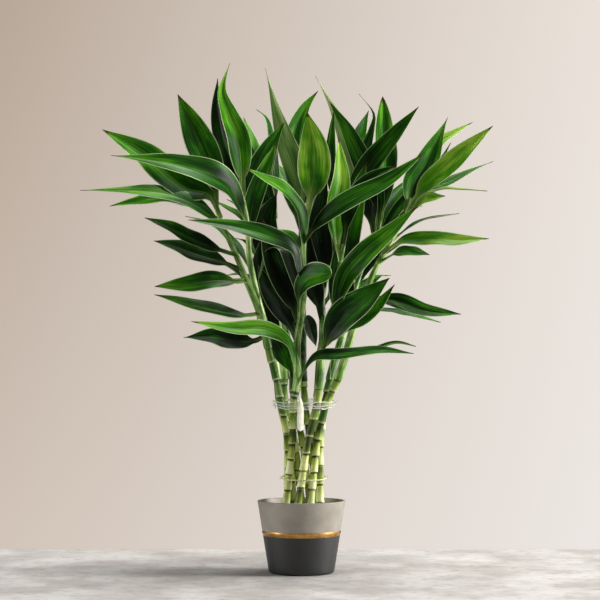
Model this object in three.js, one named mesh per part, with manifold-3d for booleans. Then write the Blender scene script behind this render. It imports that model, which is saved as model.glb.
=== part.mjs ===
// Lucky bamboo: a twisted bundle of ringed canes with leafy tops, tied twice, in a tapered pot.
// Millimetres, +Z up. The origin is under the middle of the pot, and the front looks along -Y.

import * as THREE from "three";
import { mergeVertices } from "three/addons/utils/BufferGeometryUtils.js";
import Module from "manifold-3d";

const wasm = await Module();
wasm.setup();

// Pot and soil
const POT_HEIGHT = 98;
const POT_RIM_RADIUS = 60;
const POT_BASE_RADIUS = 44.3;
const POT_WALL = 4;
const POT_FLOOR = 5;
const POT_EDGE = 2.5;
const POT_BEVEL = 0.8;
const POT_SIDES = 36;
const SOIL_TOP = 78;
const SOIL_CROWN = 3;
const SOIL_RINGS = [1, 0.6, 0];
const CLEARANCE = 0.3;

// The bundle of canes: rings of [height, ring radius, turn in degrees], from the soil to the neck
const CANE_FOOT = 30;
const NECK_HEIGHT = 232;
const BUNDLE = [
  [CANE_FOOT, 25.5, -62],
  [SOIL_TOP, 25, -52],
  [127, 22.8, -37],
  [180, 23, -18],
  [NECK_HEIGHT, 33.4, 0],
];

// The bundle's middle stands this far to the right at the neck, and this share less at its foot
const BUNDLE_SHIFT = 3.4;
const BUNDLE_FOOT_SHARE = 0.2;

// Canes
const CANE_SIDES = 8;
const RING_HEIGHT = 1.6;
const RING_SWELL = 1.12;
const RING_NECK = 0.88;
const FIRST_RING = 0.7;
const CROWN_MARGIN = 6;
const ACROSS = new THREE.Vector3(1, 0, 0);

// The front view is measured by an eye this far in front of the pot and this high
const EYE_DISTANCE = 2200;
const EYE_HEIGHT = 260;

// Ties
const STRAP = { height: 229, radius: 40.6, half: 4.6, wall: 0.8, tilt: 3, flare: 2.6, back: 1 };
const CORD = { height: 129, radius: 31, half: 0.8, wall: 1.4, tilt: 5, flare: 0, back: 0 };
const TIE_SIDES = 32;

// Leaves
const BLADE_THICKNESS = 0.8;
const PETIOLE_WIDTH = 9;
const PETIOLE_LENGTH = 23;
const PETIOLE_SHARE = 0.3;
const TIP_WIDTH = 1.2;
const BLADE_STEP = 34;
const FEWEST_STEPS = 5;
const MOST_STEPS = 8;
const BLADE_SWELL = 0.75;
const BLADE_TAPER = 1.1;
const HALFWAY = 0.5;
const LEAF_MIDDLE = 1;
const CHANNEL = 14;
const PETIOLE_CHANNEL = 42;
const FAR_STEPS = 4;
const FAR_FACE_UP = 50;

// Leafy stems: shares along them, and their girth at the foot and the tip
const STEM_RINGS = [0, 0.1, 0.22, 0.38, 0.56, 0.78, 1];
const STEM_SWELL = 1.18;
const STEM_TIP = 0.55;

// Halvings that find a height on a curve, and the distance at which points are one
const BISECTIONS = 24;
const WELD = 1e-4;

// Each stalk: place round the neck in degrees from the front, cane radius, height where its leafy
// top begins, height between its rings, and the rest of its way as [across, up, depth] points,
// where across and up are those of the front view.
const STALKS = {
  a: { place: -70, radius: 4.9, crown: 305, step: 24, way: [
    [-35, 264, -13], [-43, 294, -17], [-57, 353, -25], [-77, 401, -31], [-87, 426, -35],
    [-109, 476, -40], [-120, 506, -42]] },
  b: { place: -98.1, radius: 5.3, crown: 262, step: 27, way: [
    [-40, 305, 12], [-53, 346, 12], [-60, 373, 10], [-71, 426, 4], [-73, 456, -1],
    [-75, 480, -6], [-83, 522, -12]] },
  c: { place: -25, radius: 5.0, crown: 246, step: 21, way: [
    [-6, 257, -31], [-6, 312, -34], [2, 367, -39], [3, 394, -42], [3, 442, -46], [8, 494, -52]] },
  d: { place: 32, radius: 5.1, crown: 250, step: 23, way: [
    [25, 284, -33], [28, 312, -38], [36, 343, -43], [46, 367, -46], [50, 401, -49],
    [58, 449, -52]] },
  e: { place: 72, radius: 4.9, crown: 262, step: 22, way: [
    [49, 261, -13], [58, 288, -16], [76, 349, -20], [99, 409, -24], [125, 456, -27],
    [139, 480, -29], [157, 513, -31]] },
  f: { place: 119, radius: 5.0, crown: 262, step: 25, way: [
    [43, 280, 24], [57, 325, 36], [76, 394, 54], [84, 417, 60], [97, 442, 68], [109, 480, 76]] },
  g: { place: 177.4, radius: 4.8, crown: 260, step: 26, way: [
    [2, 283, 44], [2, 339, 60], [1, 408, 86], [-1, 463, 106], [2, 506, 120]] },
  h: { place: -127.3, radius: 4.9, crown: 262, step: 23, way: [
    [-24, 277, 31], [-31, 325, 43], [-36, 387, 56], [-39, 449, 66], [-36, 501, 72]] },
  i: { place: 148.2, radius: 5.0, crown: 258, step: 24, way: [
    [27, 284, 42], [29, 332, 54], [29, 380, 64], [39, 426, 71], [50, 463, 75], [66, 517, 79]] },
  j: { place: -155.3, radius: 4.8, crown: 264, step: 25, way: [
    [-14, 284, 48], [-23, 339, 72], [-35, 401, 98], [-46, 456, 117], [-54, 501, 130]] },
};

// Leaves seen from the front: stalk, height of the root on it, the blade's way as
// [across, up, depth] points of the front view, width, and where the upper face looks as
// [degrees round from the front, degrees up], and for some how sharply the tip draws out.
const FRONT_LEAVES = [
  ["a", 480, [[-128, 516, -48], [-161, 527, -54], [-221, 575, -60], [-275, 607, -66]], 44, [0, 28]],
  ["a", 452, [[-118, 480, -52], [-150, 503, -64], [-191, 517, -74], [-240, 522, -82], [-305, 523, -92]],
    34, [0, 48], 1.6],
  ["a", 468, [[-139, 500, -36], [-180, 512, -30], [-228, 507, -26], [-264, 501, -22]], 34, [0, 48]],
  ["a", 494, [[-121, 541, -36], [-135, 576, -32], [-153, 617, -26], [-171, 656, -20]], 44, [5, 10]],
  ["a", 395, [[-92, 397, -50], [-119, 398, -60], [-160, 392, -70], [-202, 390, -80]], 31, [0, 30]],
  ["a", 350, [[-76, 350, -42], [-105, 353, -54], [-153, 365, -66], [-202, 379, -76]], 32, [0, 55]],
  ["a", 428, [[-105, 437, -46], [-146, 453, -58], [-183, 472, -68], [-216, 485, -76]], 30, [0, 45]],
  ["a", 408, [[-108, 423, -40], [-142, 433, -48], [-174, 445, -54], [-203, 453, -60]], 36, [0, 45]],
  ["b", 326, [[-60, 316, 14], [-87, 315, 10], [-123, 321, 6], [-162, 320, 2]], 36, [0, 35], 1.4],
  ["b", 470, [[-87, 504, -34], [-101, 530, -50], [-119, 542, -64], [-173, 559, -86], [-232, 568, -100],
    [-263, 571, -104]], 42, [0, 25], 1.5],
  ["b", 500, [[-95, 559, -8], [-109, 600, -5], [-116, 642, 0], [-116, 678, 4]], 30, [-30, 0]],
  ["b", 512, [[-83, 554, -24], [-88, 593, -28], [-101, 630, -28], [-110, 661, -24], [-99, 700, -18]], 34,
    [20, 0], 1.7],
  ["b", 440, [[-69, 494, 4], [-61, 524, 10], [-47, 559, 16], [-34, 590, 22]], 26, [0, 10]],
  ["b", 345, [[-39, 321, 2], [-28, 302, -3], [-14, 272, -6]], 30, [0, 15]],
  ["c", 256, [[-12, 288, -44], [-21, 314, -50], [-46, 329, -60], [-91, 331, -72], [-151, 342, -86]], 33,
    [0, 45]],
  ["c", 375, [[-5, 417, -60], [-14, 443, -70], [-43, 458, -82], [-91, 472, -94], [-156, 482, -106]], 31,
    [0, 38]],
  ["c", 412, [[1, 458, -58], [-3, 494, -66], [-25, 524, -80], [-54, 541, -90], [-77, 554, -98]], 30,
    [0, 55]],
  ["c", 483, [[12, 513, -58], [16, 538, -64], [17, 579, -76], [8, 631, -90]], 46, [0, 5]],
  ["c", 442, [[16, 469, -62], [39, 490, -76], [73, 511, -90], [124, 539, -104], [169, 574, -116]], 34,
    [0, 36]],
  ["c", 342, [[-2, 384, -56], [8, 400, -70], [24, 406, -86], [38, 406, -106], [42, 405, -130]], 38,
    [0, 25]],
  ["c", 352, [[-10, 406, -20], [-24, 443, -6], [-43, 441, 8], [-61, 393, 20]], 24, [0, 65]],
  ["c", 335, [[-14, 369, -20], [-28, 404, -8], [-43, 442, 6], [-53, 483, 14]], 34, [0, 10]],
  ["c", 312, [[-16, 339, -18], [-32, 367, -2], [-49, 395, 16], [-60, 420, 26]], 32, [0, 10]],
  ["c", 330, [[6, 346, -20], [13, 328, -14], [20, 308, -10]], 22, [0, 55]],
  ["c", 250, [[3, 272, -48], [20, 293, -58], [53, 295, -66], [108, 302, -76], [154, 298, -84]], 25,
    [0, 50]],
  ["d", 296, [[39, 324, -56], [61, 352, -66], [88, 373, -78], [121, 402, -90]], 44, [0, 25]],
  ["d", 302, [[60, 335, -44], [83, 346, -48], [108, 367, -52], [128, 393, -56]], 24, [0, 25]],
  ["d", 380, [[61, 426, -34], [66, 463, -24], [77, 504, -16], [90, 541, -12]], 32, [0, 10]],
  ["d", 335, [[50, 373, -58], [64, 408, -68], [88, 435, -80], [128, 471, -94], [160, 501, -106]], 34,
    [0, 28]],
  ["d", 420, [[47, 463, -50], [47, 497, -46], [54, 538, -42], [51, 597, -34]], 30, [20, 5]],
  ["d", 436, [[66, 494, -56], [80, 523, -60], [102, 543, -64], [132, 557, -70]], 26, [0, 45]],
  ["e", 488, [[173, 532, -36], [197, 552, -42], [231, 583, -50], [264, 612, -56]], 31, [0, 28]],
  ["e", 480, [[154, 530, -24], [171, 559, -20], [187, 593, -16], [202, 624, -12]], 38, [10, 0], 1.5],
  ["e", 496, [[171, 554, -10], [187, 586, 0], [210, 602, 8], [236, 617, 16]], 20, [0, 50]],
  ["e", 470, [[169, 519, -12], [204, 535, -2], [234, 550, 6], [264, 563, 12]], 26, [0, 50], 1.7],
  ["e", 462, [[168, 513, -40], [193, 524, -50], [220, 524, -58], [256, 522, -68]], 20, [0, 78]],
  ["e", 476, [[171, 511, -52], [186, 513, -66], [198, 515, -76]], 18, [0, 40]],
  ["e", 444, [[145, 469, -16], [169, 482, -8], [193, 487, -2], [217, 491, 4]], 14, [0, 80]],
  ["e", 430, [[138, 452, -38], [176, 455, -48], [217, 453, -56], [258, 456, -62]], 29, [0, 40]],
  ["e", 418, [[132, 436, -46], [153, 436, -60], [176, 434, -72]], 28, [0, 50]],
  ["e", 362, [[102, 372, -34], [127, 370, -44], [169, 356, -56], [219, 352, -68]], 30, [0, 42]],
  ["e", 336, [[88, 354, -28], [119, 356, -34], [154, 349, -40], [191, 341, -46]], 24, [0, 72]],
  ["e", 300, [[77, 298, -30], [105, 305, -40], [131, 312, -50], [157, 308, -58]], 24, [0, 78]],
  ["f", 470, [[105, 511, 74], [88, 552, 66], [66, 601, 60], [39, 646, 54]], 30, [-10, 10]],
  ["f", 476, [[114, 531, 82], [116, 568, 86], [114, 609, 90], [112, 653, 94]], 34, [10, 0], 0.8],
  ["f", 460, [[91, 524, 78], [88, 572, 78], [97, 608, 80], [100, 628, 82], [79, 657, 88]], 30,
    [-15, 5], 2.2],
  ["f", 440, [[132, 494, 60], [162, 524, 54], [190, 559, 50], [206, 589, 46]], 24, [0, 50]],
  ["f", 320, [[58, 350, 36], [55, 385, 34], [52, 420, 32], [48, 452, 30]], 38, [0, 5]],
  ["g", 491, [[-8, 549, 106], [-23, 593, 98], [-36, 637, 90], [-50, 692, 80]], 34, [180, 10], 1.8],
  ["g", 500, [[-10, 557, 126], [-10, 600, 130], [4, 637, 132], [23, 661, 134]], 32, [20, 0]],
  ["g", 301, [[-8, 335, 38], [-20, 368, 32], [-30, 400, 26], [-36, 430, 22]], 38, [0, 10]],
  ["h", 440, [[-54, 504, 58], [-60, 538, 52], [-46, 579, 50], [-24, 617, 52]], 42, [0, 10]],
  ["h", 491, [[-38, 552, 78], [-42, 593, 82], [-49, 623, 84], [-62, 635, 86]], 20, [50, 0]],
  ["h", 400, [[-49, 449, 54], [-50, 480, 50], [-34, 519, 46]], 40, [0, 10]],
  ["h", 300, [[-40, 330, 28], [-50, 356, 24], [-56, 385, 20]], 30, [0, 10]],
  ["h", 332, [[-44, 362, 40], [-54, 392, 34], [-58, 424, 30], [-56, 456, 26]], 30, [0, 10]],
  ["i", 340, [[22, 372, 50], [12, 404, 44], [8, 440, 40], [10, 470, 38]], 32, [0, 10]],
  ["i", 505, [[71, 552, 82], [61, 593, 80], [43, 637, 76], [19, 682, 70]], 26, [180, 10], 1.8],
  ["i", 470, [[47, 511, 71], [40, 565, 69], [42, 607, 67], [45, 637, 66]], 18, [0, 0]],
  ["i", 392, [[31, 426, 50], [25, 463, 44], [27, 504, 40], [35, 541, 38]], 34, [0, 5]],
  ["i", 430, [[61, 456, 66], [69, 490, 62], [77, 522, 58], [90, 563, 54]], 28, [0, 10]],
  ["i", 485, [[72, 522, 66], [94, 559, 58], [128, 600, 50], [162, 639, 42]], 31, [0, 12]],
  ["j", 480, [[-60, 531, 138], [-65, 559, 144], [-71, 589, 150]], 26, [0, 20]],
];

// Leaves of the far side: stalk, height of the root, direction in degrees round from the front,
// length, climb at the root and at the tip in degrees, and width.
const FAR_LEAVES = [
  ["b", 360, -118, 125, 70, 5, 26],
  ["b", 405, -128, 160, 62, 10, 28],
  ["f", 345, 150, 160, 55, 0, 28],
  ["f", 385, 126, 170, 58, 5, 30],
  ["f", 420, 134, 165, 60, 15, 30],
  ["f", 452, 140, 175, 66, 20, 32],
  ["g", 366, 168, 150, 55, -5, 28],
  ["g", 406, 196, 165, 58, 5, 30],
  ["g", 444, 160, 175, 62, 15, 32],
  ["g", 473, 205, 180, 66, 25, 32],
  ["g", 489, 172, 180, 74, 40, 32],
  ["h", 385, -145, 140, 68, 10, 28],
  ["h", 425, -138, 150, 68, 20, 30],
  ["h", 465, -110, 175, 66, 30, 32],
  ["i", 360, 140, 160, 56, 0, 28],
  ["i", 402, 168, 165, 60, 10, 30],
  ["i", 440, 138, 175, 64, 20, 32],
  ["i", 478, 160, 180, 68, 30, 32],
  ["i", 508, 152, 170, 76, 50, 30],
  ["j", 355, -140, 155, 55, -5, 28],
  ["j", 394, -165, 165, 58, 5, 30],
  ["j", 428, -125, 175, 62, 15, 32],
  ["j", 462, -155, 180, 66, 28, 32],
  ["j", 490, -112, 175, 70, 35, 30],
  ["j", 498, -150, 170, 80, 55, 28],
];

// Colours from the photo
const COLOURS = {
  pot: [0x84806f, 0.62],
  soil: [0x2c2119, 0.95],
  cane: [0xa9bf6a, 0.5],
  leaves: [0x2f6a1c, 0.4],
  strap: [0xdfe6dc, 0.12],
  cord: [0xc3cfa4, 0.6],
};

function material([colour, roughness]) {
  return new THREE.MeshStandardMaterial({ color: colour, roughness, metalness: 0 });
}

function radians(degrees) {
  return THREE.MathUtils.degToRad(degrees);
}

// A unit vector that looks some degrees round from the front and some degrees up.
function heading(round, up) {
  const level = Math.cos(radians(up));
  return new THREE.Vector3(
    level * Math.sin(radians(round)), -level * Math.cos(radians(round)), Math.sin(radians(up)));
}

// The point that lies at a depth behind the middle plane on the sight line of the front view.
function seen([across, up, depth]) {
  const reach = 1 + depth / EYE_DISTANCE;
  return new THREE.Vector3(across * reach, depth, EYE_HEIGHT + (up - EYE_HEIGHT) * reach);
}

// Closed solid from a geometry whose surface closes on itself.
function solidOf(geometry) {
  const bare = geometry.index ? geometry.toNonIndexed() : geometry.clone();
  bare.deleteAttribute("normal");
  bare.deleteAttribute("uv");
  const merged = mergeVertices(bare, WELD);
  return new wasm.Manifold(new wasm.Mesh({
    numProp: 3,
    vertProperties: new Float32Array(merged.attributes.position.array),
    triVerts: new Uint32Array(solidTriangles(merged.index.array)),
  }));
}

// Triangles without those that merging has flattened to a line.
function solidTriangles(index) {
  const kept = [];
  for (let i = 0; i < index.length; i += 3) {
    const [a, b, c] = [index[i], index[i + 1], index[i + 2]];
    if (a !== b && b !== c && c !== a) kept.push(a, b, c);
  }
  return kept;
}

// Solid through rings with the same number of points. Each side strip is split the other way
// round from the last, so that the two faces of a blade are split alike.
function loft(rings, capFrom = 0) {
  const sides = rings[0].length;
  const triangles = [];
  for (let ring = 0; ring + 1 < rings.length; ring++) {
    for (let side = 0; side < sides; side++) {
      const next = (side + 1) % sides;
      const [a, b] = [ring * sides + side, ring * sides + next];
      const [c, d] = [b + sides, a + sides];
      if (side % 2) triangles.push(a, b, c, a, c, d);
      else triangles.push(a, b, d, b, c, d);
    }
  }
  const last = (rings.length - 1) * sides;
  for (let step = 1; step + 1 < sides; step++) {
    const [b, c] = [(capFrom + step) % sides, (capFrom + step + 1) % sides];
    triangles.push(capFrom, c, b, last + capFrom, last + b, last + c);
  }
  return new wasm.Manifold(new wasm.Mesh({
    numProp: 3,
    vertProperties: new Float32Array(rings.flat().flatMap((point) => point.toArray())),
    triVerts: new Uint32Array(triangles),
  }));
}

// The biggest body of a solid: a hollow that joining sealed is filled and a loose scrap dropped.
function wholeBody(solid) {
  const bodies = solid.decompose();
  return bodies.reduce((best, body) => (body.volume() > best.volume() ? body : best));
}

function meshOf(name, solid, look) {
  const data = solid.getMesh();
  const geometry = new THREE.BufferGeometry();
  geometry.setAttribute("position", new THREE.BufferAttribute(new Float32Array(data.vertProperties), 3));
  geometry.setIndex(new THREE.BufferAttribute(new Uint32Array(data.triVerts), 1));
  geometry.computeVertexNormals();
  const mesh = new THREE.Mesh(geometry, material(look));
  mesh.name = name;
  return mesh;
}

// Round solid from a profile of [radius, height] points that starts and ends on the axis.
function turned(profile) {
  const points = profile.map(([radius, height]) => new THREE.Vector2(radius, height));
  return solidOf(new THREE.LatheGeometry(points, POT_SIDES).rotateX(Math.PI / 2));
}

function potRadius(height) {
  return POT_BASE_RADIUS + (POT_RIM_RADIUS - POT_BASE_RADIUS) * (height / POT_HEIGHT);
}

function makePot() {
  const inside = (height) => potRadius(height) - POT_WALL;
  return turned([
    [0, 0],
    [POT_BASE_RADIUS - POT_EDGE, 0],
    [potRadius(POT_BEVEL) - POT_BEVEL, POT_BEVEL],
    [potRadius(POT_EDGE), POT_EDGE],
    [potRadius(POT_HEIGHT - POT_BEVEL), POT_HEIGHT - POT_BEVEL],
    [POT_RIM_RADIUS - POT_BEVEL, POT_HEIGHT],
    [POT_RIM_RADIUS - POT_WALL + POT_BEVEL, POT_HEIGHT],
    [inside(POT_HEIGHT - POT_BEVEL), POT_HEIGHT - POT_BEVEL],
    [inside(POT_FLOOR), POT_FLOOR],
    [0, POT_FLOOR],
  ]);
}

function makeSoil(canes) {
  const foot = POT_FLOOR + CLEARANCE;
  const inside = (height) => potRadius(height) - POT_WALL - CLEARANCE;
  const dome = SOIL_RINGS.map((share) => [
    inside(SOIL_TOP) * share, SOIL_TOP + SOIL_CROWN * (1 - share ** 2)]);
  const filling = turned([[0, foot], [inside(foot), foot], ...dome]);
  return wholeBody(canes.reduce((soil, stalk) => soil.subtract(caneHole(stalk)), filling));
}

// Way of a stalk: through the rings of the bundle, then on through its own points.
function stalkCurve(stalk) {
  const bundle = BUNDLE.map(([height, radius, turn]) => {
    const angle = radians(stalk.place + turn);
    const shift = BUNDLE_SHIFT * Math.min(1, height / NECK_HEIGHT + BUNDLE_FOOT_SHARE);
    return new THREE.Vector3(shift + radius * Math.sin(angle), -radius * Math.cos(angle), height);
  });
  return new THREE.CatmullRomCurve3([...bundle, ...stalk.way.map(seen)], false, "centripetal");
}

// Share of a rising curve's length at which it reaches a height.
function shareAt(curve, height) {
  let [low, high] = [0, 1];
  for (let step = 0; step < BISECTIONS; step++) {
    const middle = (low + high) / 2;
    if (curve.getPointAt(middle).z < height) low = middle;
    else high = middle;
  }
  return low;
}

// Frames along a curve that turn with it and don't spin: each holds the point, the way forward
// and the side. The side at the share "held" is the given one.
function framesAlong(curve, shares, side, held = 0) {
  const frames = shares.map((share) => ({
    point: curve.getPointAt(share),
    ahead: curve.getTangentAt(share).normalize(),
  }));
  const start = shares.findIndex((share) => share >= held);
  const settle = (frame, from) => {
    frame.side = from.clone().addScaledVector(frame.ahead, -from.dot(frame.ahead)).normalize();
  };
  settle(frames[start], side);
  for (let i = start + 1; i < frames.length; i++) settle(frames[i], frames[i - 1].side);
  for (let i = start - 1; i >= 0; i--) settle(frames[i], frames[i + 1].side);
  for (const frame of frames) frame.up = frame.side.clone().cross(frame.ahead);
  return frames;
}

function roundRing(frame, radius) {
  return Array.from({ length: CANE_SIDES }, (_, i) => {
    const angle = (i / CANE_SIDES) * 2 * Math.PI;
    return frame.point.clone()
      .addScaledVector(frame.side, radius * Math.cos(angle))
      .addScaledVector(frame.up, -radius * Math.sin(angle));
  });
}

// A bare cane with a raised ring at each joint.
function makeCane(stalk) {
  const curve = stalkCurve(stalk);
  const stations = [[CANE_FOOT + CLEARANCE, 1]];
  const first = SOIL_TOP + stalk.step * FIRST_RING;
  for (let height = first; height < stalk.crown - CROWN_MARGIN; height += stalk.step) {
    stations.push([height - RING_HEIGHT, RING_NECK], [height, RING_SWELL]);
  }
  stations.push([stalk.crown, 1]);
  const shares = stations.map(([height]) => shareAt(curve, height));
  const frames = framesAlong(curve, shares, ACROSS);
  return loft(frames.map((frame, i) => roundRing(frame, stalk.radius * stations[i][1])));
}

// The hole that a cane stands in.
function caneHole(stalk) {
  const curve = stalkCurve(stalk);
  const shares = [CANE_FOOT, SOIL_TOP + 2 * SOIL_CROWN].map((z) => shareAt(curve, z));
  const frames = framesAlong(curve, shares, ACROSS);
  const radius = (stalk.radius + CLEARANCE) / Math.cos(Math.PI / CANE_SIDES);
  return loft(frames.map((frame) => roundRing(frame, radius)));
}

// The sheathed stem above a cane, tapering to its tip.
function makeStem(stalk, curve) {
  const start = shareAt(curve, stalk.crown + CLEARANCE);
  const shares = STEM_RINGS.map((part) => start + (1 - start) * part);
  const frames = framesAlong(curve, shares, ACROSS);
  const girth = (part) => STEM_SWELL + (STEM_TIP - STEM_SWELL) * part;
  return loft(frames.map((frame, i) => roundRing(frame, stalk.radius * girth(STEM_RINGS[i]))));
}

// Width of a leaf at a share of its length: a channelled petiole, then a lance-shaped blade.
function leafWidth(share, width, petiole, taper) {
  const along = Math.max(0, (share - petiole) / (1 - petiole));
  const form = (at) => at ** BLADE_SWELL * (1 - at) ** taper;
  const blade = width * form(along) / form(BLADE_SWELL / (BLADE_SWELL + taper));
  const stem = PETIOLE_WIDTH * (1 - along) ** 2;
  return Math.max(blade, stem, TIP_WIDTH);
}

// Section across a leaf: two halves that rise from the middle, with the upper face first.
function leafSection(frame, half, lift) {
  const at = (across, up) => frame.point.clone()
    .addScaledVector(frame.side, across)
    .addScaledVector(frame.up, up);
  const [reach, rise] = [half * Math.cos(lift), half * Math.sin(lift)];
  const under = rise - BLADE_THICKNESS;
  return [at(-reach, rise), at(0, 0), at(reach, rise),
    at(reach, under), at(0, -BLADE_THICKNESS), at(-reach, under)];
}

// One leaf: a thin blade, folded a little along its middle, with the same splits on both faces.
// The face is the way that its upper side looks halfway along.
function makeLeaf(curve, width, face, taper = BLADE_TAPER) {
  const length = curve.getLength();
  const petiole = Math.min(PETIOLE_SHARE, PETIOLE_LENGTH / length);
  const steps = THREE.MathUtils.clamp(Math.round(length / BLADE_STEP), FEWEST_STEPS, MOST_STEPS);
  const shares = Array.from({ length: steps + 1 }, (_, i) => i / steps);
  const side = curve.getTangentAt(HALFWAY).cross(face).normalize();
  const frames = framesAlong(curve, shares, side, HALFWAY);
  const rings = frames.map((frame, i) => {
    const half = leafWidth(shares[i], width, petiole, taper) / 2;
    const open = Math.min(1, shares[i] / petiole);
    return leafSection(frame, half, radians(PETIOLE_CHANNEL + (CHANNEL - PETIOLE_CHANNEL) * open));
  });
  return loft(rings, LEAF_MIDDLE);
}

function frontLeaf(stem, [, root, way, width, [round, up], taper]) {
  const start = stem.getPointAt(shareAt(stem, root));
  const curve = new THREE.CatmullRomCurve3([start, ...way.map(seen)], false, "centripetal");
  return makeLeaf(curve, width, heading(round, up), taper);
}

// A leaf that rises from its root and arches over, outward.
function farLeaf(stem, [, root, round, length, climb, droop, width]) {
  const points = [stem.getPointAt(shareAt(stem, root))];
  for (let step = 0; step < FAR_STEPS; step++) {
    const lift = climb + (droop - climb) * ((step + HALFWAY) / FAR_STEPS);
    points.push(points[step].clone().addScaledVector(heading(round, lift), length / FAR_STEPS));
  }
  const curve = new THREE.CatmullRomCurve3(points, false, "centripetal");
  return makeLeaf(curve, width, heading(round + 180, FAR_FACE_UP));
}

function leavesOf(name, stem) {
  const front = FRONT_LEAVES.filter(([on]) => on === name).map((leaf) => frontLeaf(stem, leaf));
  const far = FAR_LEAVES.filter(([on]) => on === name).map((leaf) => farLeaf(stem, leaf));
  return [...front, ...far];
}

function makeLeafyTop(name, stalk) {
  const curve = stalkCurve(stalk);
  const parts = [makeStem(stalk, curve), ...leavesOf(name, curve)];
  return wholeBody(parts.reduce((whole, part) => whole.add(part)));
}

// A flat band or cord round the bundle, lower at the front.
function makeTie({ height, radius, half, wall, tilt, flare, back }) {
  const [low, high] = [radius - flare / 2, radius + flare / 2];
  const profile = [[low - wall, -half], [low, -half], [high, half], [high - wall, half],
    [low - wall, -half]];
  const points = profile.map(([across, up]) => new THREE.Vector2(across, up));
  const ring = new THREE.LatheGeometry(points, TIE_SIDES).rotateX(Math.PI / 2);
  ring.rotateX(radians(tilt)).translate(BUNDLE_SHIFT, back, height);
  return solidOf(ring);
}

const plant = new THREE.Group();
plant.add(meshOf("pot", makePot(), COLOURS.pot));
plant.add(meshOf("soil", makeSoil(Object.values(STALKS)), COLOURS.soil));
plant.add(meshOf("tie_lower", makeTie(CORD), COLOURS.cord));
plant.add(meshOf("tie_upper", makeTie(STRAP), COLOURS.strap));
for (const [name, stalk] of Object.entries(STALKS)) {
  plant.add(meshOf(`cane_${name}`, makeCane(stalk), COLOURS.cane));
  plant.add(meshOf(`leaves_${name}`, makeLeafyTop(name, stalk), COLOURS.leaves));
}

export default plant;
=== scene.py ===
import math
import random
from collections import namedtuple

import bpy
import numpy as np
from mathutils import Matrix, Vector


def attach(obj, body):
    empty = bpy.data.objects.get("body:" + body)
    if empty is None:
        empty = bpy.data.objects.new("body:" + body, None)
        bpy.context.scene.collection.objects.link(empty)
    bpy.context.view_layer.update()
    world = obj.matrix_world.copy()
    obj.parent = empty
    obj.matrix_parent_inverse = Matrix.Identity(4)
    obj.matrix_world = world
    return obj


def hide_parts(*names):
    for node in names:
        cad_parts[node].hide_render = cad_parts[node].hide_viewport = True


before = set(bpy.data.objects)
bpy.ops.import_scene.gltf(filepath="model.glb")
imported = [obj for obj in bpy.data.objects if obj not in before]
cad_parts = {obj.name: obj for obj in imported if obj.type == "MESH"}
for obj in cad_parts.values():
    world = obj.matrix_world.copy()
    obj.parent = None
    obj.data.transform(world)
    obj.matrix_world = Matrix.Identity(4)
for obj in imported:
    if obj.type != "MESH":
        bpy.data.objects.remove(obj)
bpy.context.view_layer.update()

MM = 0.001

# The angle in degrees between two faces from which their edge is drawn sharp
SHARP = 50
POT_SHARP = 35

# Pot and soil
POT_HEIGHT = 98
POT_RIM_RADIUS = 60
POT_BASE_RADIUS = 44.3
POT_WALL = 4
POT_FLOOR = 5
POT_SIDES = 160
BAND_LOW = 51.5
BAND_HIGH = 57.8
BAND_RELIEF = 0.03
BAND_EDGE = 0.3
BAND_BULGE = 0.4
BAND_STEPS = 9
FOOT_ROUND = 4.5
FOOT_INSET = 8
FOOT_STEPS = 8
RIM_ROUND = 1.3
RIM_INSET = 1.35
RIM_STEPS = 6
INNER_ROUND = 1.2
INNER_FOOT = 3
SOIL_TOP = 78
SOIL_CROWN = 1.8
SOIL_SINK = 1.4
SOIL_EDGE = 4
SOIL_MIDDLE = 1
SOIL_LIFT = 1
SOIL_SIDES = 120
SOIL_RINGS = 34
LUMP_COUNT = 14
LUMP_SIZES = (0.15, 0.4)
LUMP_PACE = (-0.9, 0.9)
CRUMBS = 420
CRUMB_SIZES = (0.6, 1.7)
CRUMB_STRETCH = (0.6, 1.4)
CRUMB_REACH = 0.97
CRUMB_UNEVEN = (0.8, 1.15)
CRUMB_FLAT = 0.7
CRUMB_POLE = 0.08
CRUMB_PROUD = 0.25
CRUMB_ROWS = 5
CRUMB_SIDES = 7

# Where the pot has further rings: heights on its wall, and radii across its floor
RINGS_BELOW_BAND = (12, 24, 38)
RINGS_ABOVE_BAND = (70, 84)
RINGS_INSIDE = (88, 70, 40)
FLOOR_RADII = (2, 20)

# Canes
CANE_FOOT = 30
CLEARANCE = 0.3
NECK_HEIGHT = 232
BUNDLE = [(CANE_FOOT, 25.5, -62), (SOIL_TOP, 25, -52), (127, 22.8, -37), (180, 23, -18),
          (NECK_HEIGHT, 33.4, 0)]
BUNDLE_SHIFT = 3.4
BUNDLE_FOOT_SHARE = 0.2
FIRST_RING = 0.7
CROWN_MARGIN = 6
CANE_SIDES = 24
CANE_STEP = 2.5

# The lip at the foot of each joint: heights above the ring and girths
LIP = [(-2.0, 0.865), (-1.1, 0.855), (-0.65, 0.875), (-0.45, 0.98), (-0.15, 1.09), (0.3, 1.12),
       (1.6, 1.115)]
LIP_FOOT, NECK_GIRTH = -LIP[0][0], LIP[0][1]
LIP_TOP, LIP_GIRTH = LIP[-1]
LIP_EDGE = -0.5
NECK_TAPER = 1.1

# How bright the joints are, how much they darken upward, and how aslant they are cut
JOINT_TONES = (-0.36, 0.4)
JOINT_FADES = (-0.34, -0.05)
SLANT = 0.16
SLANT_RUN = 12

# The front view is measured by an eye this far in front of the pot and this high
EYE_DISTANCE = 2200
EYE_HEIGHT = 260

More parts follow.
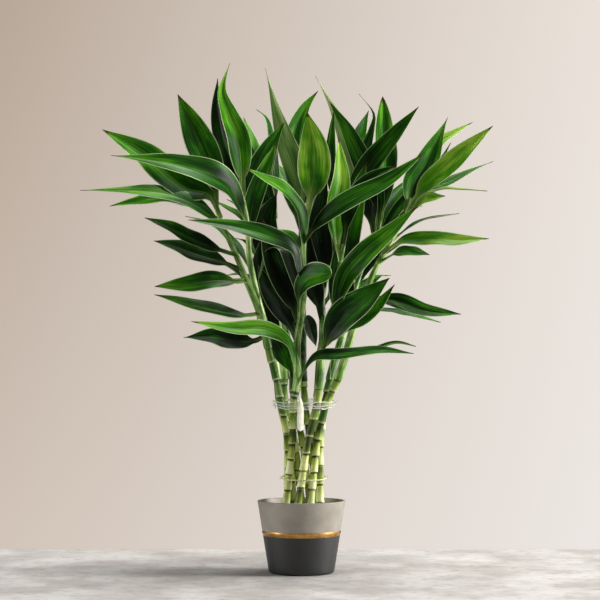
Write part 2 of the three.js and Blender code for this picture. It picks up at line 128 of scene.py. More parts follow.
# Ties
STRAP = {"height": 229, "radius": 40.6, "half": 4.6, "tilt": 3, "flare": 2.6, "back": 1}
CORD = {"height": 129, "radius": 31, "tilt": 5, "back": 0}
FILM = 0.5
FILM_BULGE = 0.9
FILM_ACROSS = 9
STRAP_SIDES = 144
STRAND_LEVELS = (-0.95, -0.2, 0.95)
STRAND_THICK = 0.32
STRAND_PROUD = 0.9
STRAND_WANDER = 0.5
STRAND_SIDES = 6
CORD_THICK = 0.8
CORD_STATIONS = 128
CORD_SIDES = 10
CORD_SWAY = 0.5
CORD_BEATS = 3
CORD_ENDS = (-2.2, 2.6)
CORD_END_THICK = 0.6
CORD_END_REACH = 3.2
CORD_END_DEPTH = -3.0
CORD_END_PROUD = 0.4
CORD_END_STRAY = (-1.5, 1)
THREAD_STEPS = 7
THREAD_SIDES = 6
THREAD_TAPER = 0.8
PHASES = (0, 6.28)

# Waves of the strap: how many, how often each comes round and how large it is
FILM_WAVES = (5, (3, 9), (0.2, 0.45))
EDGE_WAVES = (4, (5, 14), (0.15, 0.3))
STRAND_WAVES = (1, (4, 9), (0.5, 1.0))
CREASES = 3

# Loose ends of the strap: side, rise and reach; and its hanging tab
STRAP_ENDS = [(-1, 4, 6), (-1, 1.5, 4.5), (-1, -3, 5.5), (1, 4.5, 6), (1, 2, 5), (1, -2.5, 4)]
STRAP_END_THICK = 0.35
STRAP_END_DEPTHS = (-6, 2)
STRAP_END_STRAY = (-2, 2)
STRAP_END_ROOT = 0.55
STRAP_END_RISE = 0.7
STRAP_END_BOW = 0.5
TAB = {"top": 238, "foot": 193, "width": 9, "across": -1.2, "lean": -0.6, "depth": -44, "back": 8,
       "shoulder": 0.3, "round": 0.88, "turn": 0.3}
TAB_STEPS = 24
TAB_THICK = 0.5
TAB_FOLD = 1.4
TAB_POINT = 0.12
TAB_END = 0.02

# Leaves
BLADE_THICKNESS = 0.75
MARGIN_THICKNESS = 0.3
PETIOLE_WIDTH = 9
PETIOLE_LENGTH = 23
PETIOLE_SHARE = 0.3
TIP_WIDTH = 0.5
BLADE_SWELL = 0.75
BLADE_TAPER = 1.1
CHANNEL = 14
PETIOLE_CHANNEL = 42
HALFWAY = 0.5
FOLD = 0.07
BOW = 0.16
RIPPLE = 0.075
RIPPLE_BEATS = (1.6, 3.2)
CROWDING = 0.35
LEAF_STATIONS = 40
LEAF_ACROSS = 11
FAR_STEPS = 4
FAR_FACE_UP = 50
FAR_TONES = (0.2, 0.6)

# Leafy stems
STEM_SWELL = 1.18
STEM_TIP = 0.55
STEM_SIDES = 18
STEM_STEP = 6
COLLAR_APART = 4
COLLAR_BELOW = 2
COLLAR_END = 3
STATION_LEAST = 0.2

# Heights along the stem and girths: at its tip, and at the collar of a leaf
STEM_CROWN = [(-1.2, 0.9), (0, 0.5)]
COLLAR = [(-1.4, 1.0), (-0.3, 1.03), (0.5, 1.04), (1.0, 0.98)]

# How finely curves are walked
CURVE_PARTS = 200
CURVE_STEP = 1e-4
BISECTIONS = 24

# The side that rings start from, and the seed of what is drawn by lot
ACROSS = np.array([1.0, 0.0, 0.0])
SEED = 11

# Each stalk: place round the neck in degrees from the front, cane radius, height where its leafy
# top begins, height between its rings, how bright its cane and its stem are, and the rest of its
# way as (across, up, depth) points, where across and up are those of the front view.
Stalk = namedtuple("Stalk", "place radius crown step cane_tone stem_tone way")
STALKS = {
    "a": Stalk(-70, 4.9, 305, 24, 0.45, 0.65, [
        (-35, 264, -13), (-43, 294, -17), (-57, 353, -25), (-77, 401, -31), (-87, 426, -35),
        (-109, 476, -40), (-120, 506, -42)]),
    "b": Stalk(-98.1, 5.3, 262, 27, 0.6, 0.78, [
        (-40, 305, 12), (-53, 346, 12), (-60, 373, 10), (-71, 426, 4), (-73, 456, -1),
        (-75, 480, -6), (-83, 522, -12)]),
    "c": Stalk(-25, 5, 246, 21, 0.35, 0.65, [
        (-6, 257, -31), (-6, 312, -34), (2, 367, -39), (3, 394, -42), (3, 442, -46),
        (8, 494, -52)]),
    "d": Stalk(32, 5.1, 250, 23, 0.25, 0.6, [
        (25, 284, -33), (28, 312, -38), (36, 343, -43), (46, 367, -46), (50, 401, -49),
        (58, 449, -52)]),
    "e": Stalk(72, 4.9, 262, 22, 0.55, 0.75, [
        (49, 261, -13), (58, 288, -16), (76, 349, -20), (99, 409, -24), (125, 456, -27),
        (139, 480, -29), (157, 513, -31)]),
    "f": Stalk(119, 5, 262, 25, 0.5, 0.5, [
        (43, 280, 24), (57, 325, 36), (76, 394, 54), (84, 417, 60), (97, 442, 68), (109, 480, 76)]),
    "g": Stalk(177.4, 4.8, 260, 26, 0.55, 0.25, [
        (2, 283, 44), (2, 339, 60), (1, 408, 86), (-1, 463, 106), (2, 506, 120)]),
    "h": Stalk(-127.3, 4.9, 262, 23, 0.65, 0.75, [
        (-24, 277, 31), (-31, 325, 43), (-36, 387, 56), (-39, 449, 66), (-36, 501, 72)]),
    "i": Stalk(148.2, 5, 258, 24, 0.5, 0.45, [
        (27, 284, 42), (29, 332, 54), (29, 380, 64), (39, 426, 71), (50, 463, 75), (66, 517, 79)]),
    "j": Stalk(-155.3, 4.8, 264, 25, 0.6, 0.3, [
        (-14, 284, 48), (-23, 339, 72), (-35, 401, 98), (-46, 456, 117), (-54, 501, 130)]),
}

# Leaves seen from the front: stalk, height of the root on it, the blade's way as (across, up, depth)
# points, width, where the upper face looks as (degrees round from the front, degrees up), how
# bright it is, and for some how sharply the tip draws out. The brightness is partly the leaf's own
# tone and partly painted shade: leaves deep in the crown are given tones near zero or below.
FRONT_LEAVES = [
    ("a", 480, [(-128, 516, -48), (-161, 527, -54), (-221, 575, -60), (-275, 607, -66)], 44, (0, 28),
     0.55),
    ("a", 452, [(-118, 480, -52), (-150, 503, -64), (-191, 517, -74), (-240, 522, -82), (-305, 523, -92)],
     34, (0, 48), 0.6, 1.6),
    ("a", 468, [(-139, 500, -36), (-180, 512, -30), (-228, 507, -26), (-264, 501, -22)], 34, (0, 48),
     0.45),
    ("a", 494, [(-121, 541, -36), (-135, 576, -32), (-153, 617, -26), (-171, 656, -20)], 44, (5, 10),
     0.45),
    ("a", 395, [(-92, 397, -50), (-119, 398, -60), (-160, 392, -70), (-202, 390, -80)], 31, (0, 30), 0.5),
    ("a", 350, [(-76, 350, -42), (-105, 353, -54), (-153, 365, -66), (-202, 379, -76)], 32, (0, 55),
     0.55),
    ("a", 428, [(-105, 437, -46), (-146, 453, -58), (-183, 472, -68), (-216, 485, -76)], 30, (0, 45),
     0.3),
    ("a", 408, [(-108, 423, -40), (-142, 433, -48), (-174, 445, -54), (-203, 453, -60)], 36, (0, 45),
     0.3),
    ("b", 326, [(-60, 316, 14), (-87, 315, 10), (-123, 321, 6), (-162, 320, 2)], 36, (0, 35), 0.2, 1.4),
    ("b", 470, [(-87, 504, -34), (-101, 530, -50), (-119, 542, -64), (-173, 559, -86), (-232, 568, -100),
     (-263, 571, -104)], 42, (0, 25), 0.45, 1.5),
    ("b", 500, [(-95, 559, -8), (-109, 600, -5), (-116, 642, 0), (-116, 678, 4)], 30, (-30, 0), 0.2),
    ("b", 512, [(-83, 554, -24), (-88, 593, -28), (-101, 630, -28), (-110, 661, -24), (-99, 700, -18)],
     34, (20, 0), 0.6, 1.7),
    ("b", 440, [(-69, 494, 4), (-61, 524, 10), (-47, 559, 16), (-34, 590, 22)], 26, (0, 10), 0.45),
    ("b", 345, [(-39, 321, 2), (-28, 302, -3), (-14, 272, -6)], 30, (0, 15), 0.3),
    ("c", 256, [(-12, 288, -44), (-21, 314, -50), (-46, 329, -60), (-91, 331, -72), (-151, 342, -86)], 33,
     (0, 45), 0.6),
    ("c", 375, [(-5, 417, -60), (-14, 443, -70), (-43, 458, -82), (-91, 472, -94), (-156, 482, -106)], 31,
     (0, 38), 0.35),
    ("c", 412, [(1, 458, -58), (-3, 494, -66), (-25, 524, -80), (-54, 541, -90), (-77, 554, -98)], 30,
     (0, 55), 0.5),
    ("c", 483, [(12, 513, -58), (16, 538, -64), (17, 579, -76), (8, 631, -90)], 46, (0, 5), 0.72),
    ("c", 442, [(16, 469, -62), (39, 490, -76), (73, 511, -90), (124, 539, -104), (169, 574, -116)], 34,
     (0, 36), 0.4),
    ("c", 342, [(-2, 384, -56), (8, 400, -70), (24, 406, -86), (38, 406, -106), (42, 405, -130)], 38,
     (0, 25), 0.4),
    ("c", 352, [(-10, 406, -20), (-24, 443, -6), (-43, 441, 8), (-61, 393, 20)], 24, (0, 65), 0.0),
    ("c", 335, [(-14, 369, -20), (-28, 404, -8), (-43, 442, 6), (-53, 483, 14)], 34, (0, 10), 0.05),
    ("c", 312, [(-16, 339, -18), (-32, 367, -2), (-49, 395, 16), (-60, 420, 26)], 32, (0, 10), 0.0),
    ("c", 330, [(6, 346, -20), (13, 328, -14), (20, 308, -10)], 22, (0, 55), 0.0),
    ("c", 250, [(3, 272, -48), (20, 293, -58), (53, 295, -66), (108, 302, -76), (154, 298, -84)], 25,
     (0, 50), 0.35),
    ("d", 296, [(39, 324, -56), (61, 352, -66), (88, 373, -78), (121, 402, -90)], 44, (0, 25), 0.3),
    ("d", 302, [(60, 335, -44), (83, 346, -48), (108, 367, -52), (128, 393, -56)], 24, (0, 25), 0.4),
    ("d", 380, [(61, 426, -34), (66, 463, -24), (77, 504, -16), (90, 541, -12)], 32, (0, 10), 0.4),
    ("d", 335, [(50, 373, -58), (64, 408, -68), (88, 435, -80), (128, 471, -94), (160, 501, -106)], 34,
     (0, 28), 0.5),
    ("d", 420, [(47, 463, -50), (47, 497, -46), (54, 538, -42), (51, 597, -34)], 30, (20, 5), 0.75),
    ("d", 436, [(66, 494, -56), (80, 523, -60), (102, 543, -64), (132, 557, -70)], 26, (0, 45), 0.25),
    ("e", 488, [(173, 532, -36), (197, 552, -42), (231, 583, -50), (264, 612, -56)], 31, (0, 28), 0.8),
    ("e", 480, [(154, 530, -24), (171, 559, -20), (187, 593, -16), (202, 624, -12)], 38, (10, 0), 0.5,
     1.5),
    ("e", 496, [(171, 554, -10), (187, 586, 0), (210, 602, 8), (236, 617, 16)], 20, (0, 50), 0.85),
    ("e", 470, [(169, 519, -12), (204, 535, -2), (234, 550, 6), (264, 563, 12)], 26, (0, 50), 0.5, 1.7),
    ("e", 462, [(168, 513, -40), (193, 524, -50), (220, 524, -58), (256, 522, -68)], 20, (0, 78), 0.9),
    ("e", 476, [(171, 511, -52), (186, 513, -66), (198, 515, -76)], 18, (0, 40), 0.8),
    ("e", 444, [(145, 469, -16), (169, 482, -8), (193, 487, -2), (217, 491, 4)], 14, (0, 80), 0.3),
    ("e", 430, [(138, 452, -38), (176, 455, -48), (217, 453, -56), (258, 456, -62)], 29, (0, 40), 0.82),
    ("e", 418, [(132, 436, -46), (153, 436, -60), (176, 434, -72)], 28, (0, 50), 0.4),
    ("e", 362, [(102, 372, -34), (127, 370, -44), (169, 356, -56), (219, 352, -68)], 30, (0, 42), 0.4),
    ("e", 336, [(88, 354, -28), (119, 356, -34), (154, 349, -40), (191, 341, -46)], 24, (0, 72), 0.5),
    ("e", 300, [(77, 298, -30), (105, 305, -40), (131, 312, -50), (157, 308, -58)], 24, (0, 78), 0.5),
    ("f", 470, [(105, 511, 74), (88, 552, 66), (66, 601, 60), (39, 646, 54)], 30, (-10, 10), 0.4),
    ("f", 476, [(114, 531, 82), (116, 568, 86), (114, 609, 90), (112, 653, 94)], 34, (10, 0), 0.45, 0.8),
    ("f", 460, [(91, 524, 78), (88, 572, 78), (97, 608, 80), (100, 628, 82), (79, 657, 88)], 30,
     (-15, 5), 0.3, 2.2),
    ("f", 440, [(132, 494, 60), (162, 524, 54), (190, 559, 50), (206, 589, 46)], 24, (0, 50), 0.4),
    ("f", 320, [(58, 350, 36), (55, 385, 34), (52, 420, 32), (48, 452, 30)], 38, (0, 5), 0.05),
    ("g", 491, [(-8, 549, 106), (-23, 593, 98), (-36, 637, 90), (-50, 692, 80)], 34, (180, 10), 0.5, 1.8),
    ("g", 500, [(-10, 557, 126), (-10, 600, 130), (4, 637, 132), (23, 661, 134)], 32, (20, 0), 0.5),
    ("g", 301, [(-8, 335, 38), (-20, 368, 32), (-30, 400, 26), (-36, 430, 22)], 38, (0, 10), -0.05),
    ("h", 440, [(-54, 504, 58), (-60, 538, 52), (-46, 579, 50), (-24, 617, 52)], 42, (0, 10), 0.35),
    ("h", 491, [(-38, 552, 78), (-42, 593, 82), (-49, 623, 84), (-62, 635, 86)], 20, (50, 0), 0.3),
    ("h", 400, [(-49, 449, 54), (-50, 480, 50), (-34, 519, 46)], 40, (0, 10), 0.0),
    ("h", 300, [(-40, 330, 28), (-50, 356, 24), (-56, 385, 20)], 30, (0, 10), -0.05),
    ("h", 332, [(-44, 362, 40), (-54, 392, 34), (-58, 424, 30), (-56, 456, 26)], 30, (0, 10), 0.0),
    ("i", 340, [(22, 372, 50), (12, 404, 44), (8, 440, 40), (10, 470, 38)], 32, (0, 10), 0.0),
    ("i", 505, [(71, 552, 82), (61, 593, 80), (43, 637, 76), (19, 682, 70)], 26, (180, 10), 0.75, 1.8),
    ("i", 470, [(47, 511, 71), (40, 565, 69), (42, 607, 67), (45, 637, 66)], 18, (0, 0), 0.3),
    ("i", 392, [(31, 426, 50), (25, 463, 44), (27, 504, 40), (35, 541, 38)], 34, (0, 5), 0.0),
    ("i", 430, [(61, 456, 66), (69, 490, 62), (77, 522, 58), (90, 563, 54)], 28, (0, 10), 0.3),
    ("i", 485, [(72, 522, 66), (94, 559, 58), (128, 600, 50), (162, 639, 42)], 31, (0, 12), 0.35),
    ("j", 480, [(-60, 531, 138), (-65, 559, 144), (-71, 589, 150)], 26, (0, 20), 0.4),
]

# Leaves of the far side: stalk, height of the root, direction in degrees round from the front,
# length, climb at the root and at the tip in degrees, and width.
FAR_LEAVES = [
    ("b", 360, -118, 125, 70, 5, 26),
    ("b", 405, -128, 160, 62, 10, 28),
    ("f", 345, 150, 160, 55, 0, 28),
    ("f", 385, 126, 170, 58, 5, 30),
    ("f", 420, 134, 165, 60, 15, 30),
    ("f", 452, 140, 175, 66, 20, 32),
    ("g", 366, 168, 150, 55, -5, 28),
    ("g", 406, 196, 165, 58, 5, 30),
    ("g", 444, 160, 175, 62, 15, 32),
    ("g", 473, 205, 180, 66, 25, 32),
    ("g", 489, 172, 180, 74, 40, 32),
    ("h", 385, -145, 140, 68, 10, 28),
    ("h", 425, -138, 150, 68, 20, 30),
    ("h", 465, -110, 175, 66, 30, 32),
    ("i", 360, 140, 160, 56, 0, 28),
    ("i", 402, 168, 165, 60, 10, 30),
    ("i", 440, 138, 175, 64, 20, 32),
    ("i", 478, 160, 180, 68, 30, 32),
    ("i", 508, 152, 170, 76, 50, 30),
    ("j", 355, -140, 155, 55, -5, 28),
    ("j", 394, -165, 165, 58, 5, 30),
    ("j", 428, -125, 175, 62, 15, 32),
    ("j", 462, -155, 180, 66, 28, 32),
    ("j", 490, -112, 175, 70, 35, 30),
    ("j", 498, -150, 170, 80, 55, 28),
]

# Colours: ramps as (level, colour) stops, and pairs as the darker and the lighter colour
LEAF_UPPER = [(0.0, (0.018, 0.06, 0.014)), (0.25, (0.05, 0.17, 0.02)), (0.5, (0.14, 0.39, 0.035)),
              (0.75, (0.32, 0.60, 0.06)), (1.0, (0.62, 0.80, 0.26))]
LEAF_UNDER = [(0.0, (0.10, 0.19, 0.07)), (0.3, (0.24, 0.38, 0.15)), (0.6, (0.44, 0.58, 0.29)),
              (1.0, (0.72, 0.79, 0.56))]
LEAF_PALE = [(0.0, (0.14, 0.25, 0.09)), (0.3, (0.42, 0.57, 0.22)), (0.6, (0.68, 0.78, 0.45)),
             (1.0, (0.84, 0.89, 0.62))]
# Colours of the pale line along the leaf margins: a painted highlight
LEAF_MARGIN_HIGHLIGHT = [(0.0, (0.50, 0.60, 0.42)), (0.5, (0.80, 0.87, 0.66)), (1.0, (0.92, 0.95, 0.78))]
DRY_TIP = (0.30, 0.22, 0.13)
STEM_GREENS = [(0.0, (0.045, 0.12, 0.02)), (0.3, (0.16, 0.33, 0.06)), (0.6, (0.39, 0.57, 0.20)),
               (1.0, (0.74, 0.83, 0.54))]
SHEATH_EDGE = (0.84, 0.90, 0.68)
COLLAR_PALE = (0.70, 0.77, 0.48)
CANE_GREENS = [(0.0, (0.20, 0.26, 0.04)), (0.22, (0.44, 0.52, 0.16)), (0.45, (0.68, 0.74, 0.37)),
               (0.7, (0.85, 0.89, 0.60)), (1.0, (0.95, 0.97, 0.78))]
YOUNG_GREEN = (0.20, 0.40, 0.11)
LIP_PALE = (0.90, 0.91, 0.72)
# Dark band under each cane lip: partly a real scar line, partly painted shade
SCAR_AND_SHADE_DARK = (0.12, 0.14, 0.04)
GREY_GLAZE = (0.61, 0.585, 0.545)
DARK_GLAZE = (0.03, 0.05, 0.047)
GOLDS = ((0.68, 0.50, 0.26), (0.82, 0.64, 0.38))
SOIL_BROWNS = [(0.3, (0.10, 0.075, 0.055)), (0.55, (0.20, 0.15, 0.11)), (0.75, (0.33, 0.26, 0.19))]
CRUMB_BROWNS = [(0.0, (0.16, 0.11, 0.08)), (0.6, (0.36, 0.26, 0.17)), (0.88, (0.45, 0.36, 0.26)),
                (0.95, (0.85, 0.83, 0.78))]
MILKS = ((0.93, 0.93, 0.84), (0.99, 0.99, 0.93))
FILMS = ((0.80, 0.83, 0.80), (0.95, 0.96, 0.95))
RAFFIAS = ((0.76, 0.81, 0.56), (0.93, 0.95, 0.78))
FLOOR_GREYS = ((0.70, 0.685, 0.67), (0.815, 0.805, 0.795))
FLOOR_GRAIN = (0.60, 0.57, 0.54)

# Camera and studio
CAMERA_SENSOR = 36
CAMERA_LENS = 96.3
CAMERA_PITCH = 2.9
CAMERA_SHIFT = -0.0025
FLOOR_BACK = 307
FLOOR_FRONT = -1300
FLOOR_HALF = 1100
FLOOR_DEPTH = 40
FLOOR_BEVEL = 1.5
FLOOR_CORNER = 0.3
# The wall's colours at its corners: one warm colour, with painted shade that darkens it towards the top left
WALL_TOP_LEFT = (0.715, 0.65, 0.59)
WALL_TOP_RIGHT = (0.92, 0.885, 0.855)
WALL_LOW_LEFT = (0.82, 0.765, 0.72)
WALL_LOW_RIGHT = (0.93, 0.91, 0.89)

# How far the view turns across and up while the wall goes from its first to its second shade
WALL_ACROSS = (-0.19, 0.19)
WALL_UP = (-0.1, 0.23)

AMBIENT = (0.95, 0.92, 0.88)
AMBIENT_POWER = 0.06

# Each light: name, place, what it aims at, size, power and colour, in metres and watts
LIGHTS = [
    ("key", (3.9, -0.3, 1.05), (0, 0, 0.25), (1.0, 1.2), 260, (1.0, 0.975, 0.94)),
    ("left", (-3.4, -0.7, 0.8), (0, 0, 0.2), (1.4, 1.4), 64, (1.0, 0.98, 0.96)),
    ("top", (0.4, 0.3, 2.6), (0, 0, 0.4), (1.0, 1.0), 56, (1.0, 0.99, 0.97)),
    ("rim", (2.6, 1.9, 0.7), (0, 0, 0.2), (1.4, 1.4), 22, (1.0, 0.98, 0.95)),
    ("front", (0.9, -3.0, 2.1), (0, 0, 0.4), (2.6, 2.0), 8, (1.0, 0.99, 0.97)),
]


# Curves

def radians(degrees):
    return degrees * math.pi / 180


def unit(vector):
    return vector / np.linalg.norm(vector)


def heading(around, up):
    """A unit vector that looks some degrees round from the front and some degrees up."""
    level = math.cos(radians(up))
    return np.array([level * math.sin(radians(around)), -level * math.cos(radians(around)),
                     math.sin(radians(up))])


def seen(point):
    """The point that lies at a depth behind the middle plane on the sight line of the front view."""
    across, up, depth = point
    reach = 1 + depth / EYE_DISTANCE
    return (across * reach, depth, EYE_HEIGHT + (up - EYE_HEIGHT) * reach)


class Curve:
    """A centripetal Catmull-Rom curve, walked by the share of its length."""

    def __init__(self, points):
        self.points = np.array(points, float)
        self.times = np.linspace(0, 1, CURVE_PARTS + 1)
        steps = np.linalg.norm(np.diff(self.spots(self.times), axis=0), axis=1)
        self.reach = np.concatenate([[0], np.cumsum(steps)])
        self.length = self.reach[-1]

    def spots(self, times):
        """Points at times from 0 to 1, with as much time for each leg."""
        points = self.points
        legs = len(points) - 1
        at = np.clip(np.asarray(times, float), 0, 1) * legs
        leg = np.minimum(at.astype(int), legs - 1)
        part = (at - leg)[:, None]
        ends = np.vstack([2 * points[0] - points[1], points, 2 * points[-1] - points[-2]])
        a, b, c, d = (ends[leg + k] for k in range(4))
        before, here, after = (
            np.sqrt(np.linalg.norm(end - start, axis=1, keepdims=True))
            for start, end in ((a, b), (b, c), (c, d)))
        enter = (b - a) / before - (c - a) / (before + here) + (c - b) / here
        leave = (c - b) / here - (d - b) / (here + after) + (d - c) / after
        enter, leave = enter * here, leave * here
        bend = 3 * (c - b) - 2 * enter - leave
        turn = 2 * (b - c) + enter + leave
        return b + enter * part + bend * part ** 2 + turn * part ** 3

    def times_at(self, shares):
        return np.interp(np.asarray(shares, float) * self.length, self.reach, self.times)

    def at(self, shares):
        return self.spots(self.times_at(shares))

    def ahead(self, shares):
        """Unit vectors along the curve."""
        times = self.times_at(shares)
        after, before = np.minimum(times + CURVE_STEP, 1), np.maximum(times - CURVE_STEP, 0)
        way = self.spots(after) - self.spots(before)
        return way / np.linalg.norm(way, axis=1, keepdims=True)

    def share_at(self, height):
        """Share of a rising curve's length at which it reaches a height."""
        low, high = 0.0, 1.0
        for _ in range(BISECTIONS):
            middle = (low + high) / 2
            if self.at([middle])[0][2] < height:
                low = middle
            else:
                high = middle
        return low


def frames_along(curve, shares, side, held=0.0):
    """Points, sides and ups along a curve: the side turns with the curve and doesn't spin."""
    spots, ahead = curve.at(shares), curve.ahead(shares)
    sides = np.zeros_like(spots)

    def settle(i, given):
        sides[i] = unit(given - np.dot(given, ahead[i]) * ahead[i])

    start = int(np.argmax(np.asarray(shares) >= held))
    settle(start, side)
    for i in range(start + 1, len(shares)):
        settle(i, sides[i - 1])
    for i in range(start - 1, -1, -1):
        settle(i, sides[i + 1])
    return spots, sides, np.cross(sides, ahead)


def stalk_curve(stalk):
    """The middle line of a stalk, from its foot in the soil to its tip."""
    bundle = []
    for height, radius, turn in BUNDLE:
        angle = radians(STALKS[stalk].place + turn)
        shift = BUNDLE_SHIFT * min(1, height / NECK_HEIGHT + BUNDLE_FOOT_SHARE)
        bundle.append((shift + radius * math.sin(angle), -radius * math.cos(angle), height))
    return Curve(bundle + [seen(point) for point in STALKS[stalk].way])


# Meshes

class Body:
    """Closed shells joined into one mesh, with what its materials read at each point: where the
    point lies on its shell (place) and the shell's own values (tone)."""

    def __init__(self):
        self.points, self.places, self.tones = [], [], []
        self.faces, self.looks = [], []
        self.count = 0

    def loft(self, rings, places, tone=(0, 0, 0), look=0, flat_ends=False, closed=False):
        """A shell through rings of equal count. Flat ends are split across, for a thin section,
        and a closed loft joins its last ring to its first."""
        stations, sides = rings.shape[:2]
        faces = []
        for ring in range(stations if closed else stations - 1):
            here, there = ring * sides, (ring + 1) % stations * sides
            for side in range(sides):
                after = (side + 1) % sides
                faces.append((here + side, here + after, there + after, there + side))
        last = (stations - 1) * sides
        if flat_ends:
            for i in range(sides // 2 - 1):
                low = (i, sides - 1 - i, sides - 2 - i, i + 1)
                faces += [low, tuple(last + k for k in reversed(low))]
        elif not closed:
            faces += [tuple(range(sides - 1, -1, -1)), tuple(last + k for k in range(sides))]
        self.points.append(rings.reshape(-1, 3))
        self.places.append(np.asarray(places, float).reshape(-1, 3))
        self.tones.append(np.broadcast_to(np.asarray(tone, float), self.points[-1].shape))
        self.faces += [tuple(self.count + i for i in face) for face in faces]
        self.looks += [look] * len(faces)
        self.count += stations * sides

    def object(self, name, slot, replaced, *materials, sharp=SHARP):
        """The mesh as a piece of the part, in the place of the nodes that it replaces."""
        mesh = bpy.data.meshes.new(name)
        points = np.concatenate(self.points) * MM
        mesh.from_pydata(points.tolist(), [], self.faces)
        for material in materials:
            mesh.materials.append(material)
        mesh.polygons.foreach_set("material_index", self.looks)
        for title, rows in (("place", self.places), ("tone", self.tones)):
            values = mesh.attributes.new(title, "FLOAT_VECTOR", "POINT")
            values.data.foreach_set("vector", np.concatenate(rows).astype(np.float32).ravel())
        mesh.shade_smooth()
        mesh.set_sharp_from_angle(angle=radians(sharp))
        piece = stand(name, mesh)
        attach(piece, "root")
        if replaced:
            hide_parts(*replaced)
        return piece


def whole_turn(count):
    """A whole turn in equal steps: as shares of the turn, and as angles."""
    shares = np.arange(count) / count
    return shares, shares * 2 * math.pi


def round_rings(frames, radii, sides):
    """Rings of points round a curve, and the turn of each point as a share."""
    spots, across, up = frames
    turns, angles = whole_turn(sides)
    reach = np.asarray(radii, float)[:, None, None]
    rings = (spots[:, None] + reach * np.cos(angles)[:, None] * across[:, None]
             - reach * np.sin(angles)[:, None] * up[:, None])
    return rings, turns


def ring_places(turns, along, extra):
    """Place values of rings: turn round, a value along and another one, per station."""
    shape = (len(along), len(turns))
    return np.stack([np.broadcast_to(turns, shape), np.broadcast_to(np.asarray(along)[:, None], shape),
                     np.broadcast_to(np.asarray(extra)[:, None], shape)], axis=-1)


# Canes

def cane_stations(stalk):
    """Heights, girths, places within the joint and numbers of the joint along a cane."""
    crown, step = STALKS[stalk].crown, STALKS[stalk].step
    rows = []
    joint = 0
    ring = SOIL_TOP + step * FIRST_RING - step
    foot = CANE_FOOT + CLEARANCE
    while ring < crown:
        above = ring + step
        top = above - LIP_FOOT if above < crown - CROWN_MARGIN else crown
        if ring > foot and ring < crown - CROWN_MARGIN:
            rows += [(ring + rise, girth, 0.0 if rise > LIP_EDGE else 1.0, joint) for rise, girth in LIP]
            start = ring + LIP_TOP
        else:
            start = max(ring, foot)
        for height in np.arange(start + CANE_STEP, top - 1, CANE_STEP):
            part = (height - ring) / step
            girth = NECK_GIRTH + (LIP_GIRTH - NECK_GIRTH) * (1 - part) ** NECK_TAPER
            rows.append((height, girth, part, joint))
        ring = above if above < crown - CROWN_MARGIN else crown
        joint += 1
    rows.append((crown, 1.0, 1.0, joint))
    return rows


def slanted(rings, frames, radii, turns, heights, joints, dice):
    """The rings of a cane with each joint's foot cut a little aslant, its own way."""
    feet = [heights[joints == joint].min() for joint in range(int(joints[-1]) + 1)]
    slants = np.array([(dice.uniform(-SLANT, SLANT), dice.uniform(-SLANT, SLANT)) for _ in feet])
    lean = np.stack([np.interp(heights, feet, slants[:, k]) for k in range(2)], axis=1)
    lean *= np.clip((heights - SOIL_TOP) / SLANT_RUN, 0, 1)[:, None]
    lean *= np.clip((heights[-1] - heights) / SLANT_RUN, 0, 1)[:, None]
    angles = turns * 2 * math.pi
    shift = radii[:, None] * (lean[:, :1] * np.cos(angles) + lean[:, 1:] * np.sin(angles))
    _, across, up = frames
    return rings + shift[..., None] * np.cross(up, across)[:, None]


def make_cane(stalk, dice, material):
    curve = stalk_curve(stalk)
    rows = cane_stations(stalk)
    heights, girths, parts, joints = (np.array(column, float) for column in zip(*rows))
    frames = frames_along(curve, [curve.share_at(height) for height in heights], ACROSS)
    radii = STALKS[stalk].radius * girths
    rings, turns = round_rings(frames, radii, CANE_SIDES)
    rings = slanted(rings, frames, radii, turns, heights, joints, dice)
    looks = [(STALKS[stalk].cane_tone + dice.uniform(*JOINT_TONES), dice.random(),
              dice.uniform(*JOINT_FADES)) for _ in range(int(joints[-1]) + 1)]
    tones = np.repeat([looks[int(joint)] for joint in joints], CANE_SIDES, axis=0)
    body = Body()
    body.loft(rings, ring_places(turns, parts, heights / 100), tones)
    return body.object(f"bare_cane_{stalk}", "cane", [f"cane_{stalk}"], material)


# Leaves

def leaf_width(shares, width, petiole, taper):
    """Width along a leaf: a channelled petiole, then a lance-shaped blade."""
    along = np.clip((shares - petiole) / (1 - petiole), 0, 1)

    def form(at):
        return at ** BLADE_SWELL * (1 - at) ** taper

    blade = width * form(along) / form(BLADE_SWELL / (BLADE_SWELL + taper))
    stem = PETIOLE_WIDTH * (1 - along) ** 2
    return np.maximum(np.maximum(blade, stem), TIP_WIDTH)


